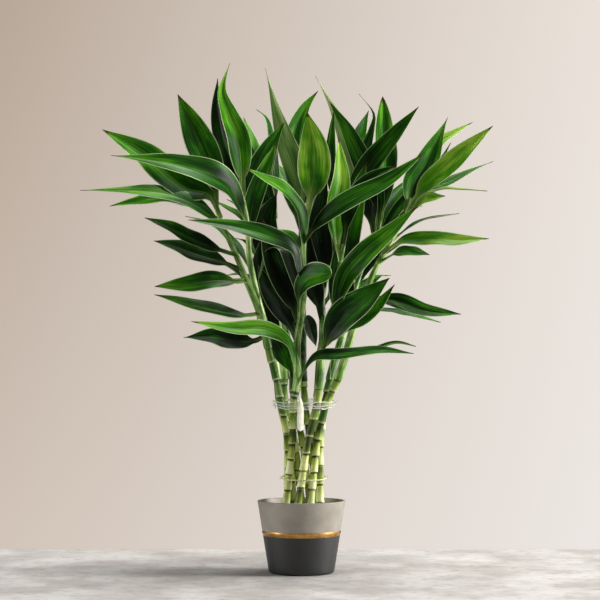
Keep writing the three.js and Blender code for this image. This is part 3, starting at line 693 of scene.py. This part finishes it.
def add_leaf(body, curve, width, face, tone, dice, taper=BLADE_TAPER):
    """One leaf: a thin blade, folded along its middle, with bowed halves and waved margins."""
    even = np.linspace(0, 1, LEAF_STATIONS)
    shares = even + CROWDING * (np.sin(2 * math.pi * even) / (2 * math.pi))
    petiole = min(PETIOLE_SHARE, PETIOLE_LENGTH / curve.length)
    half = leaf_width(shares, width, petiole, taper) / 2
    side = np.cross(curve.ahead([HALFWAY])[0], face)
    spots, sides, ups = frames_along(curve, shares, side, HALFWAY)
    opened = np.clip(shares / petiole, 0, 1)
    lift = np.radians(PETIOLE_CHANNEL + (CHANNEL - PETIOLE_CHANNEL) * opened)[:, None]
    across = np.linspace(-1, 1, LEAF_ACROSS)
    fold = np.sqrt(across ** 2 + FOLD ** 2) - FOLD
    fold = fold / fold[0]
    rise = np.sin(lift) * fold + BOW * fold * (1 - fold)
    waves = np.zeros((LEAF_STATIONS, LEAF_ACROSS))
    for hand in (-1, 1):
        beats, phase = dice.uniform(*RIPPLE_BEATS), dice.random()
        wave = np.sin(2 * math.pi * (beats * shares + phase)) * np.sin(math.pi * shares)
        waves += wave[:, None] * np.where(across * hand > 0, across ** 2, 0)
    rise = half[:, None] * (rise + RIPPLE * waves)
    reach = half[:, None] * np.cos(lift) * across
    thick = MARGIN_THICKNESS + (BLADE_THICKNESS - MARGIN_THICKNESS) * (1 - across ** 2)
    top = spots[:, None] + reach[..., None] * sides[:, None] + rise[..., None] * ups[:, None]
    under = top - (thick[None, :, None] * ups[:, None])
    rings = np.concatenate([top, under[:, ::-1]], axis=1)
    along = np.broadcast_to(shares[:, None], (LEAF_STATIONS, LEAF_ACROSS))
    spread = np.broadcast_to(across, along.shape)
    upper = np.stack([spread, along, np.ones_like(along)], axis=-1)
    lower = np.stack([spread, along, np.zeros_like(along)], axis=-1)[:, ::-1]
    places = np.concatenate([upper, lower], axis=1)
    body.loft(rings, places, (tone, dice.random(), petiole), flat_ends=True)


def front_leaf(stem, row):
    """A leaf that follows its points in the front view."""
    _, root, way, width, face, tone, *taper = row
    start = stem.at([stem.share_at(root)])[0]
    return Curve([start] + [seen(point) for point in way]), width, heading(*face), tone, taper


def far_leaf(stem, row, dice):
    """A leaf that rises from its root and arches over, outward."""
    _, root, around, length, climb, droop, width = row
    points = [stem.at([stem.share_at(root)])[0]]
    for step in range(FAR_STEPS):
        lift = climb + (droop - climb) * ((step + HALFWAY) / FAR_STEPS)
        points.append(points[step] + heading(around, lift) * length / FAR_STEPS)
    return Curve(points), width, heading(around + 180, FAR_FACE_UP), dice.uniform(*FAR_TONES), []


def stem_rows(stalk, curve, roots):
    """Shares, girths and places along a leafy stem: a collar where each leaf clasps it."""
    start = curve.share_at(STALKS[stalk].crown + CLEARANCE)
    reach = (1 - start) * curve.length
    collars = []
    for root in sorted(curve.share_at(height) for height in roots):
        spot = (root - start) * curve.length
        if not collars or spot - collars[-1] > COLLAR_APART:
            collars.append(spot)
    rows = [(0.0, 1.0, 0.0)]
    last = 0.0
    for spot in collars + [reach]:
        gap = spot - COLLAR_BELOW - last
        steps = max(1, int(gap / STEM_STEP))
        rows += [(last + gap * k / (steps + 1), 1.0, k / (steps + 1)) for k in range(1, steps + 1)]
        if spot < reach - COLLAR_END:
            rows += [(spot + rise, girth, 1.0 if rise < 0 else 0.0) for rise, girth in COLLAR]
        last = spot
    rows += [(reach + rise, girth, 1.0) for rise, girth in STEM_CROWN]
    rows = [row for i, row in enumerate(rows) if i == 0 or row[0] > rows[i - 1][0] + STATION_LEAST]
    return [(start + spot / curve.length, girth, part, spot / reach) for spot, girth, part in rows]


def add_stem(body, stalk, curve, roots, dice):
    rows = stem_rows(stalk, curve, roots)
    shares = [min(row[0], 1) for row in rows]
    frames = frames_along(curve, shares, ACROSS)
    girths = [STALKS[stalk].radius * row[1] * (STEM_SWELL + (STEM_TIP - STEM_SWELL) * row[3]) for row in rows]
    rings, turns = round_rings(frames, girths, STEM_SIDES)
    places = ring_places(turns, [row[2] for row in rows], [row[3] for row in rows])
    body.loft(rings, places, (STALKS[stalk].stem_tone, dice.random(), 0), 1)


def make_leafy_top(stalk, dice, leaf, stem_look):
    stem = stalk_curve(stalk)
    body = Body()
    front = [row for row in FRONT_LEAVES if row[0] == stalk]
    far = [row for row in FAR_LEAVES if row[0] == stalk]
    add_stem(body, stalk, stem, [row[1] for row in front + far], dice)
    for row in front:
        curve, width, face, tone, taper = front_leaf(stem, row)
        add_leaf(body, curve, width, face, tone, dice, *taper)
    for row in far:
        curve, width, face, tone, taper = far_leaf(stem, row, dice)
        add_leaf(body, curve, width, face, tone, dice, *taper)
    return body.object(f"leafy_top_{stalk}", "leaf", [f"leaves_{stalk}"], leaf, stem_look)


# Pot, soil and ties

def pot_radius(height):
    return POT_BASE_RADIUS + (POT_RIM_RADIUS - POT_BASE_RADIUS) * (height / POT_HEIGHT)


def arc(middle, radius, start, end, steps):
    """Points of an arc in a profile, in degrees from outward towards up."""
    angles = [radians(start + (end - start) * k / steps) for k in range(steps + 1)]
    return [(middle[0] + radius * math.cos(a), middle[1] + radius * math.sin(a)) for a in angles]


def lathe(profile, sides=POT_SIDES):
    """Rings of a turned shape, one for each profile point."""
    turns, angles = whole_turn(sides)
    rings = np.array([[(r * math.cos(a), r * math.sin(a), z) for a in angles] for r, z in profile])
    return rings, turns


def wall(*heights, inward=0):
    """Profile points on the pot's wall, or inward of it."""
    return [(pot_radius(height) - inward, height) for height in heights]


def band_profile():
    """The gold band: a slightly raised strip with a rounded face."""
    rows = wall(BAND_LOW)
    for height in np.linspace(BAND_LOW + BAND_EDGE, BAND_HIGH - BAND_EDGE, BAND_STEPS):
        bulge = BAND_BULGE * math.sin(math.pi * (height - BAND_LOW) / (BAND_HIGH - BAND_LOW))
        rows.append((pot_radius(height) + BAND_RELIEF + bulge, height))
    return rows + wall(BAND_HIGH)


def make_pot(glaze, gold, dark):
    slant = math.degrees(math.atan2(POT_RIM_RADIUS - POT_BASE_RADIUS, POT_HEIGHT))
    lean = radians(slant)
    foot_middle = pot_radius(FOOT_ROUND * (1 - math.sin(lean))) - FOOT_ROUND * math.cos(lean)
    foot = arc((foot_middle, FOOT_ROUND), FOOT_ROUND, -90, -slant, FOOT_STEPS)
    rim = arc((POT_RIM_RADIUS - RIM_INSET, POT_HEIGHT - RIM_ROUND), RIM_ROUND, -slant, 90, RIM_STEPS)
    inner = arc((POT_RIM_RADIUS - POT_WALL + RIM_ROUND, POT_HEIGHT - INNER_ROUND), INNER_ROUND, 90,
                180 - slant, RIM_STEPS)
    inside = wall(*RINGS_INSIDE, POT_FLOOR + INNER_FOOT, inward=POT_WALL)
    base = [(radius, 0) for radius in (*FLOOR_RADII, POT_BASE_RADIUS - FOOT_INSET)]
    floor = [(radius, POT_FLOOR) for radius in (inside[-1][0] - INNER_FOOT, *reversed(FLOOR_RADII))]
    low = base + foot + wall(*RINGS_BELOW_BAND, BAND_LOW - BAND_EDGE)
    high = wall(BAND_HIGH + BAND_EDGE, *RINGS_ABOVE_BAND) + rim + inner + inside + floor
    steps = [(low, dark), (band_profile(), gold), (high, glaze)]
    profile = [point for points, _ in steps for point in points]
    looks = [(glaze, gold, dark).index(look) for points, look in steps for _ in points]
    rings, turns = lathe(profile)
    body = Body()
    heights = [height / POT_HEIGHT for _, height in profile]
    body.loft(rings, ring_places(turns, heights, [1] * len(profile)))
    body.looks[:(len(looks) - 1) * POT_SIDES] = [look for look in looks[1:] for _ in range(POT_SIDES)]
    return body.object("planter", "pot", ["pot"], glaze, gold, dark, sharp=POT_SHARP)


def soil_height(x, y, waves):
    """Height of the soil's surface: a low dome with lumps."""
    reach = math.hypot(x, y) / (pot_radius(SOIL_TOP) - POT_WALL)
    lumps = sum(size * math.sin(kx * x + ky * y + phase) for size, kx, ky, phase in waves)
    return SOIL_TOP + SOIL_CROWN * (1 - reach ** 2) - SOIL_SINK + lumps


def make_soil(dice, material):
    waves = [(dice.uniform(*LUMP_SIZES), dice.uniform(*LUMP_PACE), dice.uniform(*LUMP_PACE),
              dice.uniform(*PHASES)) for _ in range(LUMP_COUNT)]
    outer = pot_radius(SOIL_TOP) - POT_WALL - CLEARANCE
    foot = pot_radius(POT_FLOOR) - POT_WALL - INNER_FOOT
    below = [(radius, POT_FLOOR + SOIL_LIFT) for radius in (SOIL_MIDDLE, foot)]
    below += wall(SOIL_TOP - SOIL_EDGE, inward=POT_WALL + CLEARANCE)
    surface = [(radius, SOIL_TOP) for radius in np.linspace(outer, SOIL_MIDDLE, SOIL_RINGS)]
    rings, turns = lathe(below + surface, SOIL_SIDES)
    for ring in rings[len(below):]:
        for point in ring:
            point[2] = soil_height(point[0], point[1], waves)
    body = Body()
    body.loft(rings, ring_places(turns, np.linspace(0, 1, len(rings)), [0] * len(rings)))
    for _ in range(CRUMBS):
        reach, turn = outer * math.sqrt(dice.random()) * CRUMB_REACH, dice.uniform(0, 2 * math.pi)
        add_crumb(body, reach * math.cos(turn), reach * math.sin(turn), waves, dice)
    return body.object("potting_soil", "soil", ["soil"], material)


def add_crumb(body, x, y, waves, dice):
    """A crumb or a chip of bark that lies on the soil."""
    size = dice.uniform(*CRUMB_SIZES)
    stretch = [dice.uniform(*CRUMB_STRETCH) for _ in range(3)]
    base = soil_height(x, y, waves) + size * CRUMB_PROUD
    turns, angles = whole_turn(CRUMB_SIDES)
    tilts = math.pi * np.linspace(CRUMB_POLE, 1 - CRUMB_POLE, CRUMB_ROWS)[:, None]
    uneven = [[dice.uniform(*CRUMB_UNEVEN) for _ in turns] for _ in tilts]
    reach = size * np.sin(tilts) * uneven
    heights = base - size * np.cos(tilts) * stretch[2] * CRUMB_FLAT
    rings = np.stack([x + reach * np.cos(angles) * stretch[0], y + reach * np.sin(angles) * stretch[1],
                      np.broadcast_to(heights, reach.shape)], axis=-1)
    places = ring_places(turns, [0.5] * CRUMB_ROWS, [1] * CRUMB_ROWS)
    body.loft(rings, places, (dice.random(), dice.random(), 1))


def placed(points, tie):
    """Points round a tie's own middle, moved to where the tie sits and tilted with it."""
    x, y, z = np.moveaxis(np.asarray(points, float), -1, 0)
    angle = radians(tie["tilt"])
    return np.stack([x + BUNDLE_SHIFT, y * math.cos(angle) - z * math.sin(angle) + tie["back"],
                     y * math.sin(angle) + z * math.cos(angle) + tie["height"]], axis=-1)


def hoop(radii, heights, sides, thick):
    """Rings of a closed round strand whose middle has these radii and heights."""
    along, turns = whole_turn(len(radii))
    round_it, around = whole_turn(sides)
    reach = radii[:, None] + thick * np.cos(around)
    rings = np.stack([reach * np.cos(turns)[:, None], reach * np.sin(turns)[:, None],
                      heights[:, None] + thick * np.sin(around)], axis=-1)
    return rings, ring_places(round_it, along, np.zeros(len(radii)))


def add_thread(body, points, thick, look=0):
    """A loose thread through a few points, drawn out to a fine tip."""
    curve = Curve(points)
    shares = np.linspace(0, 1, THREAD_STEPS)
    frames = frames_along(curve, shares, np.array([0.0, 0.0, 1.0]))
    rings, turns = round_rings(frames, thick * (1 - THREAD_TAPER * shares), THREAD_SIDES)
    body.loft(rings, ring_places(turns, shares, shares), look=look)


def draw_waves(dice, count, beats, sizes):
    """Waves drawn by lot: how often each comes round the hoop, its phase and its size."""
    return [(dice.randint(*beats), dice.uniform(*PHASES), dice.uniform(*sizes)) for _ in range(count)]


def sway(waves, turn):
    """The sum of the waves at a turn round the hoop."""
    return sum(size * math.sin(beats * turn + phase) for beats, phase, size in waves)


def film_ring(turn, waves, edge_waves, spread):
    """Points across the film at a turn round the bundle, outer face first."""
    bulge = FILM_BULGE + sway(waves, turn) / 2
    crease = 0.5 + 0.5 * np.cos(CREASES * spread + turn * 2)
    radii = STRAP["radius"] + STRAP["flare"] / 2 * spread + max(0, bulge) * crease
    heights = STRAP["half"] * spread + sway(edge_waves, turn) * np.abs(spread)
    outer, inner = (np.stack([reach * math.cos(turn), reach * math.sin(turn), heights], axis=-1)
                    for reach in (radii, radii - FILM))
    return np.concatenate([outer, inner[::-1]])


def make_strap(dice, film, edge):
    """A clear film drawn round the bundle, with beaded edges, loose ends and a hanging tab."""
    along, turns = whole_turn(STRAP_SIDES)
    spread = np.linspace(-1, 1, FILM_ACROSS)
    waves = draw_waves(dice, *FILM_WAVES)
    edge_waves = draw_waves(dice, *EDGE_WAVES)
    rings = placed([film_ring(turn, waves, edge_waves, spread) for turn in turns], STRAP)
    both = np.concatenate([spread, spread[::-1]])
    places = ring_places(both, along, np.zeros(STRAP_SIDES))
    body = Body()
    body.loft(rings[::-1], places[::-1], closed=True)
    for level in STRAND_LEVELS:
        beats, phase, size = draw_waves(dice, *STRAND_WAVES)[0]
        radii = STRAP["radius"] + STRAP["flare"] / 2 * level + STRAND_PROUD
        radii = radii + STRAND_WANDER * np.sin(beats * turns + phase)
        heights = STRAP["half"] * level + size * np.sin((beats + 2) * turns + 2 * phase)
        strand, strand_places = hoop(radii, heights, STRAND_SIDES, STRAND_THICK)
        body.loft(placed(strand, STRAP)[::-1], strand_places[::-1], look=1, closed=True)
    for side, rise, reach in STRAP_ENDS:
        start = (side * (STRAP["radius"] + 1), dice.uniform(*STRAP_END_DEPTHS), STRAP_END_ROOT * rise)
        root = np.array(start)
        tip = root + (side * reach, dice.uniform(*STRAP_END_STRAY), rise * STRAP_END_RISE)
        middle = (root + tip) / 2 + (0, 0, STRAP_END_BOW)
        add_thread(body, placed([root, middle, tip], STRAP), STRAP_END_THICK, 1)
    add_tab(body, TAB)
    return body.object("clear_strap", "strap", ["tie_upper"], film, edge)


def add_tab(body, tab):
    """The flat end of the strap, which hangs down the front: pointed above and rounded below."""
    share = np.linspace(0, 1, TAB_STEPS)
    point = TAB_POINT + (1 - TAB_POINT) * np.clip(share / tab["shoulder"], 0, 1)
    beyond = ((share - tab["round"]) / (1 - tab["round"])).clip(0)
    half = tab["width"] / 2 * point * np.sqrt(np.clip(1 - beyond ** 2, TAB_END, 1))
    middle = tab["across"] + tab["lean"] * share
    depth = tab["depth"] + tab["back"] * share
    heights = np.linspace(tab["top"], tab["foot"], TAB_STEPS)
    section = [(-1, 0), (0, -TAB_FOLD), (1, 0), (1, TAB_THICK), (0, TAB_THICK - TAB_FOLD), (-1, TAB_THICK)]
    edges = [np.stack([middle + side * half, depth + tab["turn"] * side * half + off, heights], axis=-1)
             for side, off in section]
    places = ring_places(np.zeros(len(section)), share, share)
    body.loft(np.stack(edges, axis=1)[::-1], places, (1, 0, 0), 1)


def make_cord(dice, material):
    """A thin cord round the waist of the bundle, with short loose ends."""
    _, turns = whole_turn(CORD_STATIONS)
    middle = CORD["radius"] - CORD_THICK
    heights = CORD_SWAY * np.sin(CORD_BEATS * turns)
    rings, places = hoop(np.full(CORD_STATIONS, middle), heights, CORD_SIDES, CORD_THICK)
    body = Body()
    body.loft(placed(rings, CORD)[::-1], places[::-1], closed=True)
    for side in (-1, 1):
        root = np.array([side * (middle + CORD_END_PROUD), CORD_END_DEPTH, 0.0])
        for rise in CORD_ENDS:
            tip = root + (side * CORD_END_REACH, dice.uniform(*CORD_END_STRAY), rise)
            add_thread(body, placed([root, (root + tip) / 2, tip], CORD), CORD_END_THICK)
    return body.object("waist_cord", "cord", ["tie_lower"], material)


# Materials

class Nodes:
    """A node tree built one node at a time. Each call returns the output of what it added."""

    def __init__(self, tree):
        self.tree = tree

    def join(self, given, socket):
        """Links an output to a socket, or sets the socket to a plain value or a colour."""
        if isinstance(given, bpy.types.NodeSocket):
            self.tree.links.new(given, socket)
        else:
            socket.default_value = colour(given) if isinstance(given, tuple) else given

    def add(self, kind, inputs, **settings):
        """Adds a node, feeds its sockets and returns its outputs."""
        made = self.tree.nodes.new(kind)
        for key, value in settings.items():
            setattr(made, key, value)
        for key, given in inputs.items():
            self.join(given, made.inputs[key])
        return made.outputs

    def math(self, operation, *values, clamp=False):
        return self.add("ShaderNodeMath", dict(enumerate(values)), operation=operation, use_clamp=clamp)[0]

    def plus(self, first, second):
        return self.math("ADD", first, second)

    def times(self, first, second):
        return self.math("MULTIPLY", first, second)

    def split(self, vector):
        return self.add("ShaderNodeSeparateXYZ", {0: vector})

    def smooth(self, value, start, end, low=0.0, high=1.0, kind="SMOOTHSTEP"):
        """Goes smoothly from low to high as the value goes from start to end."""
        given = dict(enumerate((value, start, end, low, high)))
        return self.add("ShaderNodeMapRange", given, interpolation_type=kind)[0]

    def mix(self, part, first, second):
        return self.add("ShaderNodeMix", {0: part, 6: first, 7: second}, data_type="RGBA")[2]


class Look(Nodes):
    """A material whose shader is fed by its node tree."""

    def __init__(self, name):
        self.material = bpy.data.materials.new(name)
        self.material.use_nodes = True
        super().__init__(self.material.node_tree)
        self.shader = self.tree.nodes["Principled BSDF"].inputs

    def attribute(self, name):
        """The three values of a point attribute."""
        return self.split(self.add("ShaderNodeAttribute", {}, attribute_name=name)["Vector"])

    def where(self):
        return self.add("ShaderNodeTexCoord", {})["Object"]

    def varied(self, level, *rows):
        """A level moved up or down by values, each given with its start, end, low and high."""
        for row in rows:
            level = self.plus(level, self.smooth(*row))
        return level

    def ramp(self, level, stops):
        made = self.tree.nodes.new("ShaderNodeValToRGB")
        self.join(level, made.inputs[0])
        elements = made.color_ramp.elements
        while len(elements) < len(stops):
            elements.new(1)
        for element, (at, shade) in zip(elements, stops):
            element.position = at
            element.color = colour(shade)
        return made.outputs[0]

    def noise(self, where, scale, detail=2, rough=0.5):
        given = {"Vector": where, "Scale": scale, "Detail": detail, "Roughness": rough}
        return self.add("ShaderNodeTexNoise", given)[0]

    def fibres(self, scale, detail, *rows):
        """Noise over values that are each stretched by a factor of their own."""
        stretched = {k: self.times(value, factor) for k, (value, factor) in enumerate(rows)}
        return self.noise(self.add("ShaderNodeCombineXYZ", stretched)[0], scale, detail)

    def bump(self, height, distance, strength=1.0):
        given = {"Strength": strength, "Distance": distance, "Height": height}
        return self.add("ShaderNodeBump", given)[0]

    def finish(self, base, rough, normal, gloss=0.5, metal=0.0, alpha=1.0):
        """Feeds the shader and returns the material."""
        given = {"Base Color": base, "Roughness": rough, "Normal": normal, "Specular IOR Level": gloss,
                 "Metallic": metal, "Alpha": alpha}
        for key, value in given.items():
            self.join(value, self.shader[key])
        return self.material


def colour(shade):
    """Linear colour from red, green and blue shares as a screen shows them."""
    linear = [c / 12.92 if c <= 0.04045 else ((c + 0.055) / 1.055) ** 2.4 for c in shade]
    return (*linear, 1.0)


def leaf_look():
    look = Look("leaf_blade")
    across, along, face = look.attribute("place")
    tone, seed, petiole = look.attribute("tone")
    away = look.math("ABSOLUTE", across)
    streak = look.fibres(1.5, 3, (across, 9.0), (along, 2.0), (seed, 37.0))
    fine = look.fibres(1.0, 2, (across, 26.0), (along, 2.4), (seed, 37.0))
    patch = look.fibres(1.3, 2, (across, 1.0), (along, 2.6), (seed, 37.0))
    # A leaf's tone carries painted shade too: leaves deep in the crown are given darker tones.
    level = look.varied(tone, (streak, 0.35, 0.7, -0.07, 0.12), (fine, 0.3, 0.7, -0.05, 0.06),
                        (patch, 0.3, 0.7, -0.16, 0.16), (along, 0.15, 0.95, -0.16, 0.14))
    blade = look.mix(look.smooth(face, 0.4, 0.6), look.ramp(level, LEAF_UNDER), look.ramp(level, LEAF_UPPER))
    pale = look.ramp(level, LEAF_PALE)
    rib = look.times(look.smooth(away, 0.05, 0.012), look.smooth(along, 0.9, 0.2, 0.1, 0.4))
    blade = look.mix(rib, blade, pale)
    blade = look.mix(look.smooth(look.math("DIVIDE", along, petiole), 1.9, 0.4), blade, pale)
    # Painted highlight: a pale line along each leaf's margin, as if its edge caught the light.
    margin_highlight = look.times(look.smooth(away, 0.93, 0.965), 0.92)
    blade = look.mix(margin_highlight, blade, look.ramp(level, LEAF_MARGIN_HIGHLIGHT))
    dry = look.smooth(look.plus(along, look.times(fine, 0.05)), 0.965, 0.995)
    blade = look.mix(dry, blade, DRY_TIP)
    veins = look.math("SINE", look.times(across, 60.0))
    height = look.plus(look.times(veins, 0.2), look.times(fine, 0.6))
    height = look.times(height, look.smooth(along, 0.7, 0.35))
    rough = look.varied(look.smooth(face, 0.4, 0.6, 0.55, 0.4), (fine, 0.3, 0.7, -0.04, 0.06))
    return look.finish(blade, rough, look.bump(height, 0.0002, 0.4), 0.13)


def stem_look():
    look = Look("leafy_stem")
    turn, part, up = look.attribute("place")
    tone, seed, _ = look.attribute("tone")
    streak = look.fibres(1.5, 3, (turn, 12.0), (up, 4.0), (seed, 31.0))
    patch = look.noise(look.where(), 40.0)
    level = look.varied(tone, (streak, 0.3, 0.7, -0.25, 0.2), (patch, 0.3, 0.7, -0.2, 0.2))
    turned = look.plus(look.times(part, 0.45), look.plus(turn, seed))
    apart = look.math("ABSOLUTE", look.math("SUBTRACT", look.math("FRACT", turned), 0.5))
    edge = look.times(look.smooth(apart, 0.022, 0.006), look.smooth(part, 0.9, 0.6))
    green = look.mix(look.times(edge, 0.85), look.ramp(level, STEM_GREENS), SHEATH_EDGE)
    green = look.mix(look.times(look.smooth(part, 0.85, 1.0), 0.12), green, COLLAR_PALE)
    return look.finish(green, 0.4, look.bump(streak, 0.0003, 0.5), 0.4)


def cane_look():
    look = Look("ringed_cane")
    turn, part, up = look.attribute("place")
    tone, seed, fade = look.attribute("tone")
    streak = look.fibres(1.4, 3, (turn, 14.0), (up, 2.0), (seed, 23.0))
    patch = look.fibres(1.2, 2, (turn, 2.0), (up, 4.0), (seed, 23.0))
    level = look.varied(tone, (streak, 0.3, 0.7, -0.09, 0.09), (patch, 0.3, 0.7, -0.12, 0.12),
                        (part, 0.15, 1.0, 0.13, fade), (up, 1.6, 2.3, 0.04, -0.32))
    young = look.times(look.smooth(up, 1.75, 2.3, 0.0, 0.8), look.smooth(seed, 0.1, 0.8, 0.25, 1.0))
    green = look.mix(young, look.ramp(level, CANE_GREENS), YOUNG_GREEN)
    green = look.mix(look.times(look.smooth(part, 0.1, 0.0), 0.35), green, LIP_PALE)
    # A dark band at the top of each joint, tucked under the lip above: partly a real scar line, partly
    # painted shade under the overhanging lip.
    scar_and_shade = look.times(look.smooth(part, 0.92, 0.99), look.smooth(seed, 0.0, 1.0, 0.45, 0.95))
    green = look.mix(scar_and_shade, green, SCAR_AND_SHADE_DARK)
    return look.finish(green, 0.42, look.bump(streak, 0.00035, 0.5), 0.25)


def ceramic_look(name, base, shift, rough, gloss):
    look = Look(name)
    cloud = look.noise(look.where(), 45.0, 3)
    speck = look.noise(look.where(), 900.0)
    shade = look.mix(look.smooth(cloud, 0.35, 0.65), tuple(c * 0.93 for c in base), base)
    shade = look.mix(look.smooth(speck, 0.62, 0.72, 0.0, 0.25), shade, tuple(c + shift for c in base))
    normal = look.bump(look.plus(speck, look.times(cloud, 2.0)), 0.00012, 0.5)
    rough = look.smooth(cloud, 0.3, 0.7, rough - 0.04, rough + 0.04)
    return look.finish(shade, rough, normal, gloss)


def gold_look():
    look = Look("gold_band")
    brush = look.fibres(1.0, 3, *zip(look.split(look.where()), (40.0, 40.0, 900.0)))
    shade = look.mix(look.smooth(look.noise(look.where(), 90.0), 0.3, 0.7), *GOLDS)
    rough = look.smooth(brush, 0.3, 0.7, 0.26, 0.36)
    return look.finish(shade, rough, look.bump(brush, 0.00008, 0.4), metal=1.0)


def soil_look():
    look = Look("potting_mix")
    coarse = look.noise(look.where(), 160.0, 4, 0.7)
    fine = look.noise(look.where(), 900.0, 3)
    chance, _, crumb = look.attribute("tone")
    shade = look.mix(crumb, look.ramp(coarse, SOIL_BROWNS), look.ramp(chance, CRUMB_BROWNS))
    height = look.plus(look.times(coarse, 2.0), fine)
    return look.finish(shade, 0.92, look.bump(height, 0.0012, 0.9), 0.2)


def tab_look():
    """Milky plastic: solid on the tab and half clear on the strands."""
    look = Look("milky_plastic")
    tab, _, _ = look.attribute("tone")
    cloud = look.noise(look.where(), 120.0)
    shade = look.mix(look.smooth(cloud, 0.3, 0.7), *MILKS)
    solid = look.smooth(tab, 0.0, 1.0, 0.75, 1.0)
    return look.finish(shade, 0.2, look.bump(cloud, 0.0004, 0.4), 0.6, alpha=solid)


def strap_look():
    look = Look("clear_plastic")
    across, along, _ = look.attribute("place")
    streak = look.fibres(1.0, 2, (across, 3.0), (along, 26.0))
    edge = look.smooth(look.math("ABSOLUTE", across), 0.8, 1.0)
    haze = look.smooth(streak, 0.45, 0.75, 0.05, 0.6)
    haze = look.math("ADD", haze, look.times(edge, 0.3), clamp=True)
    return look.finish(look.mix(edge, *FILMS), 0.12, look.bump(streak, 0.0008, 0.6), 0.8, alpha=haze)


def cord_look():
    look = Look("raffia_cord")
    turn, along, _ = look.attribute("place")
    twist = look.math("SINE", look.times(look.plus(turn, look.times(along, 60.0)), 2 * math.pi))
    fibre = look.fibres(1.0, 3, (turn, 9.0), (along, 90.0))
    shade = look.mix(look.smooth(fibre, 0.3, 0.7), *RAFFIAS)
    return look.finish(shade, 0.6, look.bump(look.plus(look.times(twist, 0.5), fibre), 0.0003, 0.8))


# Studio

def stand(name, data):
    """A new object in the scene."""
    made = bpy.data.objects.new(name, data)
    bpy.context.scene.collection.objects.link(made)
    return made


def make_floor():
    """A pale slab that ends a little behind the pot."""
    profile = [(FLOOR_FRONT, 0), (FLOOR_BACK - FLOOR_BEVEL, 0),
               (FLOOR_BACK - FLOOR_BEVEL * FLOOR_CORNER, -FLOOR_BEVEL * FLOOR_CORNER),
               (FLOOR_BACK, -FLOOR_BEVEL),
               (FLOOR_BACK, -FLOOR_DEPTH), (FLOOR_FRONT, -FLOOR_DEPTH)]
    points = [(x * MM, y * MM, z * MM) for x in (-FLOOR_HALF, FLOOR_HALF) for y, z in profile]
    count = len(profile)
    faces = [(i, (i + 1) % count, count + (i + 1) % count, count + i) for i in range(count)]
    faces += [tuple(reversed(range(count))), tuple(range(count, 2 * count))]
    mesh = bpy.data.meshes.new("floor")
    mesh.from_pydata(points, [], faces)
    mesh.materials.append(floor_look())
    stand("floor", mesh)


def floor_look():
    look = Look("pale_floor")
    cloud = look.noise(look.where(), 9.0, 5, 0.6)
    grain = look.noise(look.where(), 60.0, 4, 0.65)
    shade = look.mix(look.smooth(cloud, 0.35, 0.65), *FLOOR_GREYS)
    shade = look.mix(look.smooth(grain, 0.5, 0.75, 0.0, 0.6), shade, FLOOR_GRAIN)
    return look.finish(shade, 0.7, look.bump(grain, 0.0012, 0.3), 0.0)


def make_world():
    """A warm wall with painted shade, darkest at the top left, and a softer even light that reaches the
    plant.
    """
    world = bpy.data.worlds.new("studio")
    bpy.context.scene.world = world
    world.use_nodes = True
    world.node_tree.nodes.clear()
    sky = Nodes(world.node_tree)
    way = sky.split(sky.add("ShaderNodeTexCoord", {})["Generated"])
    across = sky.smooth(way[0], *WALL_ACROSS, kind="LINEAR")
    up = sky.smooth(way[2], *WALL_UP, kind="LINEAR")
    left, right = sky.mix(up, WALL_LOW_LEFT, WALL_TOP_LEFT), sky.mix(up, WALL_LOW_RIGHT, WALL_TOP_RIGHT)
    shown = sky.add("ShaderNodeBackground", {"Color": sky.mix(across, left, right)})[0]
    ambient = sky.add("ShaderNodeBackground", {"Color": AMBIENT, "Strength": AMBIENT_POWER})[0]
    direct = sky.add("ShaderNodeLightPath", {})["Is Camera Ray"]
    both = sky.add("ShaderNodeMixShader", {0: direct, 1: ambient, 2: shown})[0]
    sky.add("ShaderNodeOutputWorld", {0: both})


def make_light(name, place, aim, size, power, tint):
    data = bpy.data.lights.new(name, "AREA")
    data.shape = "RECTANGLE"
    data.size, data.size_y = size
    data.energy = power
    data.color = tint
    light = stand(name, data)
    light.location = place
    light.rotation_euler = (Vector(aim) - Vector(place)).to_track_quat("-Z", "Y").to_euler()


def make_camera():
    data = bpy.data.cameras.new("camera")
    data.sensor_width = CAMERA_SENSOR
    data.lens = CAMERA_LENS
    data.shift_x = CAMERA_SHIFT
    camera = stand("camera", data)
    camera.location = (0, -EYE_DISTANCE * MM, EYE_HEIGHT * MM)
    camera.rotation_euler = (math.radians(90 + CAMERA_PITCH), 0, 0)
    bpy.context.scene.camera = camera


# The plant
dice = random.Random(SEED)
leaf, stem, cane = leaf_look(), stem_look(), cane_look()
make_pot(ceramic_look("matte_glaze", GREY_GLAZE, 0.12, 0.55, 0.4), gold_look(),
         ceramic_look("dark_glaze", DARK_GLAZE, 0.08, 0.46, 0.75))
make_soil(dice, soil_look())
for stalk in STALKS:
    make_cane(stalk, dice, cane)
    make_leafy_top(stalk, dice, leaf, stem)
make_strap(dice, strap_look(), tab_look())
make_cord(dice, cord_look())

# The studio
make_floor()
make_world()
for light in LIGHTS:
    make_light(*light)
make_camera()
bpy.context.scene.view_settings.view_transform = "Standard"

bpy.context.view_layer.update()
